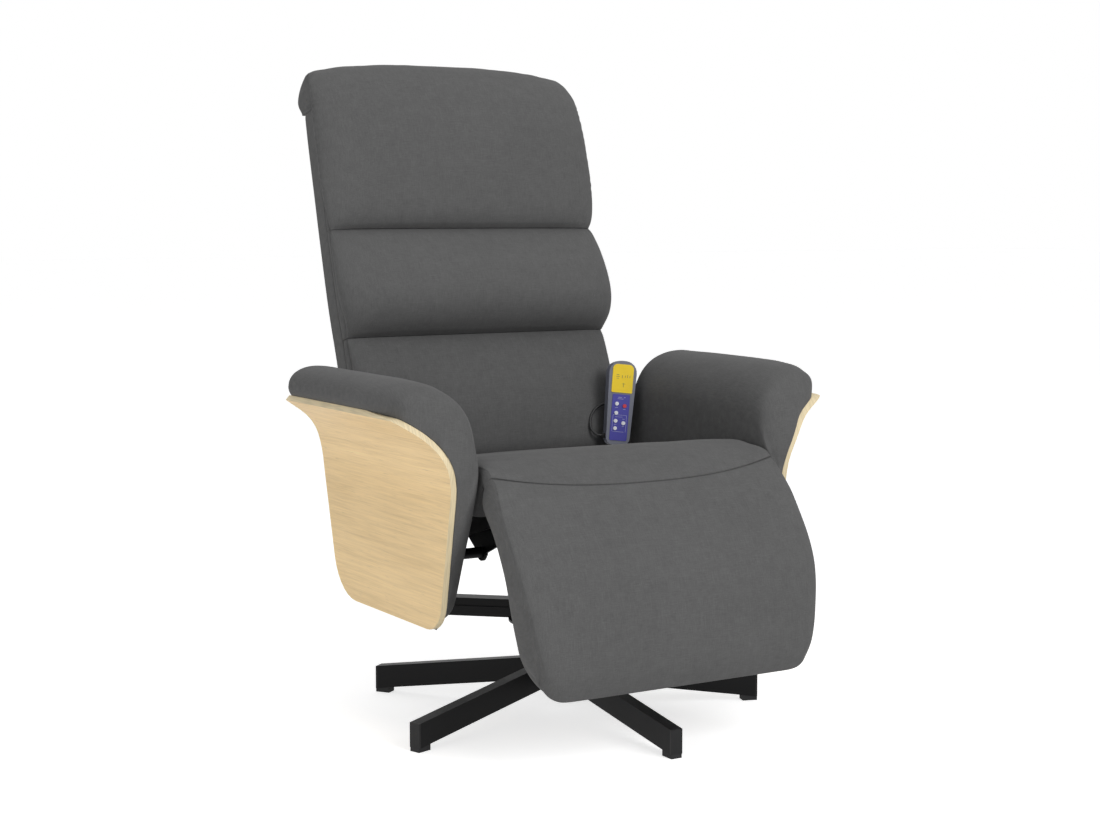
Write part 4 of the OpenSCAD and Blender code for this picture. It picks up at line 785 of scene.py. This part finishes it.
back_roll(
    "back_roll_head", "back_cushion_head", SEAM_HIGH + ROLL_GAP, BACK_TOP,
    front=[(0, SEAM_S), (0.025, -24), (0.08, -35), (0.2, -43), (0.38, -49), (0.58, -50),
           (0.72, -43), (0.8, -35), (0.88, -22), (0.94, -8), (0.98, 6), (1, 18)],
    side=[(0, 0), (0.1, 1), (0.3, 6), (0.5, 9), (0.7, 8), (0.85, 8), (0.95, 14), (1, 24)],
    width=[(0, BACK_HW + 1), (0.08, BACK_HW + 8), (0.25, BACK_HW + 12), (0.5, BACK_HW + 11),
           (0.8, BACK_HW + 9), (0.88, BACK_HW + 9), (0.94, BACK_HW + 8), (0.98, BACK_HW + 4),
           (1, BACK_HW - 3)],
    rear=[(0, ROLL_REAR), (0.7229, ROLL_REAR), (0.728, 51), (0.75, 58), (0.78, 63), (0.82, 69),
          (0.86, 71), (0.92, 66), (0.96, 56), (0.985, 44), (1, 34)],
    keys=(spread([0, 0.01, 0.025, 0.08, 0.14], 3)[:-1]
          + spread([0.14, 0.2, 0.27, 0.35, 0.43, 0.52, 0.6, 0.66, 0.72], 6) + [0.7229, 0.728]
          + spread([0.735, 0.75, 0.78, 0.82, 0.86, 0.9, 0.94, 0.965, 0.985, 1], 2)),
    gather=1.0)

TRAY_LOW, TRAY_HIGH = 58.0, BACK_TOP - 81
TRAY_FRONT, TRAY_REAR = 10.0, 50.0
TRAY_SIDE = (0.3, 0.6, 0.88)
TRAY_CROSS = mirrored([1, 0.993, 0.975, 0.95, 0.91, 0.85, 0.76, 0.64, 0.5, 0.34, 0.17, 0.08, 0])


def tray_strip(front, rear):
    return [(mix(front[0], rear[0], q), mix(front[1], rear[1], q), front[2]) for q in TRAY_SIDE]


def back_shell():
    """Tapered tray of foam and fabric behind the board, slightly full in the middle."""
    rings = []
    for k in spread([0, 0.01, 0.04, 0.12, 0.3, 0.5, 0.7, 0.88, 0.96, 0.99, 1], 3):
        t = mix(TRAY_LOW, TRAY_HIGH, k)
        hw = curve_at(PANEL_WIDTH, t) + 0.6
        end = min(k, 1 - k) * (TRAY_HIGH - TRAY_LOW)
        front_row, rear_row = [], []
        for c in TRAY_CROSS:
            fall = 5 * (1 - round_in(1 - abs(c), 0.025)) + 5 * (1 - round_in(end, 8))
            full = 2.5 * (1 - c * c) * math.sin(math.pi * k) + ripple(c * hw, t, 0, 90)
            rear_row.append((c * (hw - 1), TRAY_REAR - fall + full * min(1, end / 20), t))
            front_row.append((c * hw, TRAY_FRONT, t))
        ring = closed_ring(front_row, tray_strip(front_row[-1], rear_row[-1]),
                           rear_row, tray_strip(front_row[0], rear_row[0]))
        rings.append([in_back(*p) for p in ring])
    points, faces = box_loft(rings, len(TRAY_CROSS), len(TRAY_SIDE))
    soft_piece("back_shell_cover", points, faces, "back_cover", "backrest")


back_shell()

# Arms: foam on the inner face of each wood shell, rolled over its flared rim. The shell's face is
# upright up to BEND_Z, bends outward by FLARE and ends at the rim.
ARM_IN, SHELL_IN = 252.0, 288.5
BEND_Z, BEND_R, FLARE = 385.0, 120.0, math.radians(58.0)
ARM_BOTTOM, ARM_TOP, ARM_REAR_TOP = 185.0, 510.0, 190.0
RIM_Z, RIM_OUT = 505.3, 86.0
CREST_UP, SPRING_DOWN = 46.0, 35.0
PAD_GAP = 0.51
# Corners of the shell in the side view, with their radii, and the pad's set-back at the front
ARM_OUTLINE = [(-156, ARM_BOTTOM, 46), (-204, 440, 60), (-174, 499, 20), (-10, ARM_TOP, 100),
               (ARM_REAR_TOP, ARM_TOP, 14), (243, 408, 80), (184, ARM_BOTTOM, 80)]
SET_BACK = [(150, 42), (190, 37), (208, 31), (234, 25), (268, 18), (304, 10), (340, 1), (400, -8),
            (440, -13), (480, -9), (510, 0), (540, 5), (600, 5)]


def rounded_outline(corners, steps):
    """Outline through the corners (x, y, radius), each rounded in even steps."""
    out = []
    count = len(corners)
    for i, (bx, by, r) in enumerate(corners):
        a, b, c = Vector(corners[i - 1][:2]), Vector((bx, by)), Vector(corners[(i + 1) % count][:2])
        u, v = (a - b).normalized(), (c - b).normalized()
        half = math.acos(clamp(u.dot(v), -1, 1)) / 2
        centre = b + (u + v).normalized() * r / math.sin(half)
        s = b + u * r / math.tan(half) - centre
        turn = (-1 if u.x * v.y - u.y * v.x > 0 else 1) * (math.pi - 2 * half)
        for k in range(steps + 1):
            g = turn * k / steps
            out.append((centre.x + s.x * math.cos(g) - s.y * math.sin(g),
                        centre.y + s.x * math.sin(g) + s.y * math.cos(g)))
    return out


ARM_LINE = rounded_outline(ARM_OUTLINE, 12)
RIM_FRONT = min(p[0] for p in ARM_LINE) + 0.4


def crossings(value, axis):
    """Where the arm's outline crosses a level: of its height (axis 1) or of its depth (axis 0)."""
    found = []
    for i, a in enumerate(ARM_LINE):
        b = ARM_LINE[(i + 1) % len(ARM_LINE)]
        if (a[axis] - value) * (b[axis] - value) < 0:
            found.append(mix(a[1 - axis], b[1 - axis], (value - a[axis]) / (b[axis] - a[axis])))
    return min(found), max(found)


def arm_ends(z):
    """Front and rear of the shell at a height."""
    return crossings(clamp(z, ARM_BOTTOM + 2, ARM_TOP - 12), 1)


def rim_height(y):
    """Height of the wood's rim over a place along the arm."""
    return min(RIM_Z, crossings(clamp(y, RIM_FRONT, ARM_REAR_TOP - 20), 0)[1])


def bend_point(r, a):
    """X and Z on the shell's bend, at radius r and after turning by a."""
    return SHELL_IN + BEND_R - r * math.cos(a), BEND_Z + r * math.sin(a)


def shell_point(z):
    """Point of the pad's glued face at a height, in X and Z."""
    r = BEND_R + PAD_GAP
    if z <= BEND_Z:
        return SHELL_IN - PAD_GAP, z
    turned = math.asin(clamp((z - BEND_Z) / r))
    if turned <= FLARE:
        return bend_point(r, turned)
    end = bend_point(r, FLARE)
    past = (z - end[1]) / math.cos(FLARE)
    return end[0] + math.sin(FLARE) * past, z


# The pad's roll: its crest's place across, how high it tucks in over the rim, points on a quarter
CREST_SHARE, TUCK_UP, ROLL_STEPS = 0.66, 16, 8
# Lower end of the pad: share of its thickness and of its height
PAD_LOW = [(0.5, 0), (0.8, 0.03), (0.95, 0.09), (1, 0.2), (1, 0.4), (1, 0.6), (1, 0.8), (1, 0.95)]
# From the roll back in to the rim: share of the way out, and height over the rim
PAD_TUCK = [(0.88, 10), (0.58, 4.5), (0.2, 1.2), (0, 0.4)]
GLUED_LOW = [0, 0.02, 0.06, 0.14, 0.28, 0.42, 0.56, 0.66]


def pad_section(rim, lowered, drawn_in):
    """Section of a pad whose roll sits on a rim of the given height: inner face and glued face."""
    z0, z1 = ARM_BOTTOM - 1, rim - 1
    rx = shell_point(rim)[0]
    out = rx + mix(6, 11, clamp((rx - SHELL_IN) / RIM_OUT)) - drawn_in
    crest = mix(ARM_IN, out, CREST_SHARE)
    spring, top, tuck = rim - SPRING_DOWN, rim + CREST_UP - lowered, rim + TUCK_UP
    a_face = [(SHELL_IN - (SHELL_IN - ARM_IN) * t, mix(z0, spring, h)) for t, h in PAD_LOW]
    for i in range(ROLL_STEPS):
        g = math.pi / 2 * i / ROLL_STEPS
        a_face.append((crest - (crest - ARM_IN) * math.cos(g) ** 0.94,
                       mix(spring, top, math.sin(g) ** 0.94)))
    for i in range(ROLL_STEPS + 1):
        g = math.pi / 2 * i / ROLL_STEPS
        a_face.append((crest + (out - crest) * math.sin(g) ** 0.84,
                       tuck + (top - tuck) * math.cos(g) ** 0.84))
    a_face += [(mix(rx, out, u), rim + h) for u, h in PAD_TUCK]
    b_face = [shell_point(mix(z0, z1, u)) for u in GLUED_LOW]
    count = len(a_face) - len(b_face)
    start = mix(z0, z1, GLUED_LOW[-1])
    b_face += [shell_point(mix(start, z1, (i + 1) / count)) for i in range(count)]
    return a_face, b_face


PAD_SHARES = spread([0, 0.004, 0.011, 0.024, 0.042, 0.065, 0.095, 0.13, 0.18, 0.25, 0.35, 0.5,
                     0.65, 0.8, 0.88, 0.93, 0.965, 0.985, 0.995, 1], 2)
PAD_SIDE = (0.25, 0.5, 0.75)


def pad_strip(front, rear):
    return [tuple(mix(p, q, t) for p, q in zip(front, rear)) for t in PAD_SIDE]


def arm_pad(name, node, side):
    arm_l = ARM_REAR_TOP - RIM_FRONT
    rings = []
    for share in PAD_SHARES:
        front_d, rear_d = share * arm_l, (1 - share) * arm_l
        rim = rim_height(mix(RIM_FRONT, ARM_REAR_TOP, share))
        lowered = 10 * (1 - smooth(10, 70, front_d))
        drawn_in = 9 * smooth(0, 20, front_d) * (1 - smooth(38, 85, front_d))
        a_face, b_face = (resample(face, 2) for face in pad_section(rim, lowered, drawn_in))
        # Both ends are rounded: there the inner face comes near the glued one
        grow = (mix(0.42, 1, round_in(front_d, 22)) if share < 0.5
                else mix(0.5, 1, round_in(rear_d, 20)))
        a_row, b_row = [], []
        for a, b in zip(a_face, b_face):
            high = smooth(rim - 60, rim - 10, a[1])
            front, rear = arm_ends(a[1])
            y = mix(mix(front + curve_at(SET_BACK, a[1]), RIM_FRONT - 2, high), rear - 6, share)
            x, z = mix(b[0], a[0], grow), mix(b[1], a[1], grow)
            across = Vector((a[0] - b[0], a[1] - b[1]))
            across = across.normalized() if across.length > 3 else Vector((0, 0))
            soft = ripple(a[0] * 2, y, a[1], 75) * 1.2 + ripple(a[0], y + 400, a[1], 26) * 0.25
            push = soft * min(1, front_d / 14, rear_d / 14)
            a_row.append((side * (x + across.x * push), y, z + across.y * push))
            high = smooth(rim - 60, rim - 10, b[1])
            front, rear = arm_ends(b[1])
            b_row.append((side * b[0], mix(mix(front, RIM_FRONT, high * 0.9), rear - 4, share),
                          b[1]))
        rings.append(closed_ring(a_row, pad_strip(a_row[-1], b_row[-1]),
                                 b_row, pad_strip(a_row[0], b_row[0])))
    points, faces = box_loft(rings, len(a_row), len(PAD_SIDE), (2.5, 2.0))
    soft_piece(name, points, faces, node, "seat_unit")


arm_pad("arm_pad_cover_left", "arm_pad_left", -1)
arm_pad("arm_pad_cover_right", "arm_pad_right", 1)

# ---------------------------------------------------------------- handset trim
HANDSET_AT, HANDSET_TURN, HANDSET_ROLL, HANDSET_LEAN = (205, 158, 396), -20, 6, -6
HANDSET = (Matrix.Translation(HANDSET_AT) @ Matrix.Rotation(math.radians(HANDSET_TURN), 4, "Z")
           @ Matrix.Rotation(math.radians(HANDSET_ROLL), 4, "Y")
           @ Matrix.Rotation(math.radians(HANDSET_LEAN), 4, "X"))
HANDSET_FACE = -12.0
PLATE_T, MARK_T = 1.0, 0.1
HOLE_SIDES = 20


def handset_plate(name, outline, depth, face, material, node=None, holes=()):
    """Flat plate on the handset: an outline in X and Z, from the face outward."""
    bm = bmesh.new()
    ring = [bm.verts.new((x, face, z)) for x, z in outline]
    loops = [ring]
    for cx, cz, r in holes:
        loops.append([bm.verts.new((cx + r * math.cos(a), face, cz + r * math.sin(a)))
                      for a in [2 * math.pi * k / HOLE_SIDES for k in range(HOLE_SIDES)]])
    edges = []
    for loop in loops:
        edges += [bm.edges.new((loop[i], loop[(i + 1) % len(loop)])) for i in range(len(loop))]
    bmesh.ops.triangle_fill(bm, use_beauty=True, edges=edges)
    geom = bmesh.ops.extrude_face_region(bm, geom=list(bm.faces))
    moved = [g for g in geom["geom"] if isinstance(g, bmesh.types.BMVert)]
    bmesh.ops.translate(bm, vec=(0, -depth, 0), verts=moved)
    bmesh.ops.recalc_face_normals(bm, faces=bm.faces)
    for v in bm.verts:
        v.co = (HANDSET @ v.co) * MM
    mesh = bpy.data.meshes.new(name)
    bm.to_mesh(mesh)
    bm.free()
    obj = add_object(name, mesh)
    mesh.materials.append(material)
    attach(obj, "seat_unit")
    if node:
        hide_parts(node)
    soften_edges(obj, 0.0002, 40)


def plate_outline(x0, x1, z0, z1, low_r, high_r):
    corners = [(x0, z0, low_r), (x1, z0, low_r), (x1, z1, high_r), (x0, z1, high_r)]
    return rounded_outline(corners, 6)


# Middle of each button's hole, in X and Z of the handset
BUTTON_HOLES = [(6.8, 66), (-6.8, 69), (-6.8, 53.5), (-6.8, 40), (6.8, 37), (-6.8, 27.5)]
BUTTON_HOLE_R = 3.4
handset_plate("display_window", plate_outline(-18, 18, 88, 136, 1.5, 8), PLATE_T, HANDSET_FACE,
              DISPLAY_YELLOW, "handset_display")
handset_plate("keypad_overlay", plate_outline(-15, 15, 7, 85, 3, 1.5), PLATE_T, HANDSET_FACE,
              KEYPAD_BLUE, "handset_keypad",
              [(x, z, BUTTON_HOLE_R) for x, z in BUTTON_HOLES])

# Plain marks, all bars with no lettering: place in X and Z, width and height
DISPLAY_MARKS = [
    (-9, 118, 5, 1), (-9, 115, 6.5, 1), (-9, 112, 4.5, 1), (-1, 115, 1, 5), (4, 115.5, 1, 4),
    (8, 116, 1, 5), (12, 115.5, 1, 4), (2, 101, 1, 7), (0.4, 103, 3, 0.8), (3.6, 103, 3, 0.8),
]
KEYPAD_MARKS = [
    (-2, 80, 7, 0.8), (6, 80, 3, 0.8), (-1, 77.5, 10, 0.7), (-6.8, 62.6, 5, 0.7),
    (6.8, 60.4, 4.4, 0.7), (-1.5, 47, 13, 0.5), (6.8, 43.5, 4.4, 0.7), (6.8, 31.5, 4, 0.7),
    (-6.8, 33.8, 4, 0.6), (-1, 22, 19, 0.5), (11.6, 36, 0.5, 28), (-11.8, 36, 0.5, 28),
    (0, 50.2, 23.4, 0.5),
]


def bar(x, z, w, h):
    x0, x1, z0, z1 = x - w / 2, x + w / 2, z - h / 2, z + h / 2
    return [(x0, z0), (x1, z0), (x1, z1), (x0, z1)]


for mark_name, marks, mark_material, mark_slot in (
        ("display_mark", DISPLAY_MARKS, DISPLAY_MARK, "display_yellow"),
        ("keypad_mark", KEYPAD_MARKS, KEYPAD_MARK, "keypad_blue")):
    for k, mark in enumerate(marks):
        handset_plate(f"{mark_name}_{k}", bar(*mark), MARK_T, HANDSET_FACE - PLATE_T,
                      mark_material)

# ---------------------------------------------------------------- finishes on the solids
SLOT_OF = {p["node"]: p["material_slot"] for p in frame["record"]["subparts"]}
# Nodes with a round on their edges, in metres; the others get the plain width
EDGE_WIDTH = {"arm_shell_left": 0.0012, "arm_shell_right": 0.0012, "star_base": 0.0012,
              "leg_end_caps": 0.001, "foot_glides": 0.001, "handset_back_shell": 0.0022,
              "handset_front_shell": 0.0022}
PLAIN_EDGE = 0.0006
PLAIN_EDGED = ("spider", "seat_frame", "seat_side", "link_rods", "button")
for node, obj in frame["nodes"].items():
    material = OAK_RIGHT if node == "arm_shell_right" else SLOT_MATERIAL[SLOT_OF[node]]
    if obj.data.materials:
        for i in range(len(obj.material_slots)):
            obj.material_slots[i].material = material
    else:
        obj.data.materials.append(material)
    if node in EDGE_WIDTH or node.startswith(PLAIN_EDGED):
        soften_edges(obj, EDGE_WIDTH.get(node, PLAIN_EDGE))

# ---------------------------------------------------------------- floor, light and world
# Seen directly, floor and world are white; as light they are dimmer, so the object keeps its tones
WORLD_LEVEL = 0.36
FLOOR_GLOW = 0.66
FLOOR_HALF = 30


def seen_by_eye(tree):
    """1 for camera, mirror and glass rays, 0 for the others."""
    path = tree.nodes.new("ShaderNodeLightPath")
    value = path.outputs["Is Camera Ray"]
    for ray in ("Is Glossy Ray", "Is Transmission Ray"):
        either = tree.nodes.new("ShaderNodeMath")
        either.operation = "MAXIMUM"
        tree.links.new(value, either.inputs[0])
        tree.links.new(path.outputs[ray], either.inputs[1])
        value = either.outputs[0]
    return value


def make_floor():
    mesh = bpy.data.meshes.new("floor")
    bm = bmesh.new()
    bmesh.ops.create_grid(bm, x_segments=8, y_segments=8, size=FLOOR_HALF)
    bm.to_mesh(mesh)
    bm.free()
    floor = add_object("floor", mesh)
    n = Nodes("floor")
    glow = n.math("MULTIPLY", seen_by_eye(n.tree), FLOOR_GLOW)
    n.set(Base_Color=grey(0.86), Roughness=0.9, Specular_IOR_Level=0.1,
          Emission_Color=grey(1.0), Emission_Strength=glow)
    mesh.materials.append(n.material)


def make_world():
    world = bpy.data.worlds.new("studio")
    scene.world = world
    world.use_nodes = True
    tree = world.node_tree
    tree.nodes.clear()
    out = tree.nodes.new("ShaderNodeOutputWorld")
    back = tree.nodes.new("ShaderNodeBackground")
    back.inputs["Color"].default_value = (1, 1, 1, 1)
    level = tree.nodes.new("ShaderNodeMapRange")
    level.inputs["To Min"].default_value = WORLD_LEVEL
    level.inputs["To Max"].default_value = 1.0
    tree.links.new(seen_by_eye(tree), level.inputs["Value"])
    tree.links.new(level.outputs[0], back.inputs["Strength"])
    tree.links.new(back.outputs[0], out.inputs[0])


def area_light(name, place, target, size, power):
    data = bpy.data.lights.new(name, "AREA")
    data.shape = "SQUARE"
    data.size = size
    data.energy = power
    obj = add_object(name, data)
    obj.location = place
    obj.rotation_euler = (Vector(target) - Vector(place)).to_track_quat("-Z", "Y").to_euler()


make_floor()
make_world()
area_light("key", (0.9, -4.2, 2.9), (0.0, 0.0, 0.6), size=2.4, power=112)
area_light("fill", (-3.4, -1.2, 1.1), (-0.1, 0.0, 0.4), size=2.2, power=27)
area_light("top", (0.2, 0.6, 4.2), (0.0, 0.0, 0.4), size=2.6, power=26)
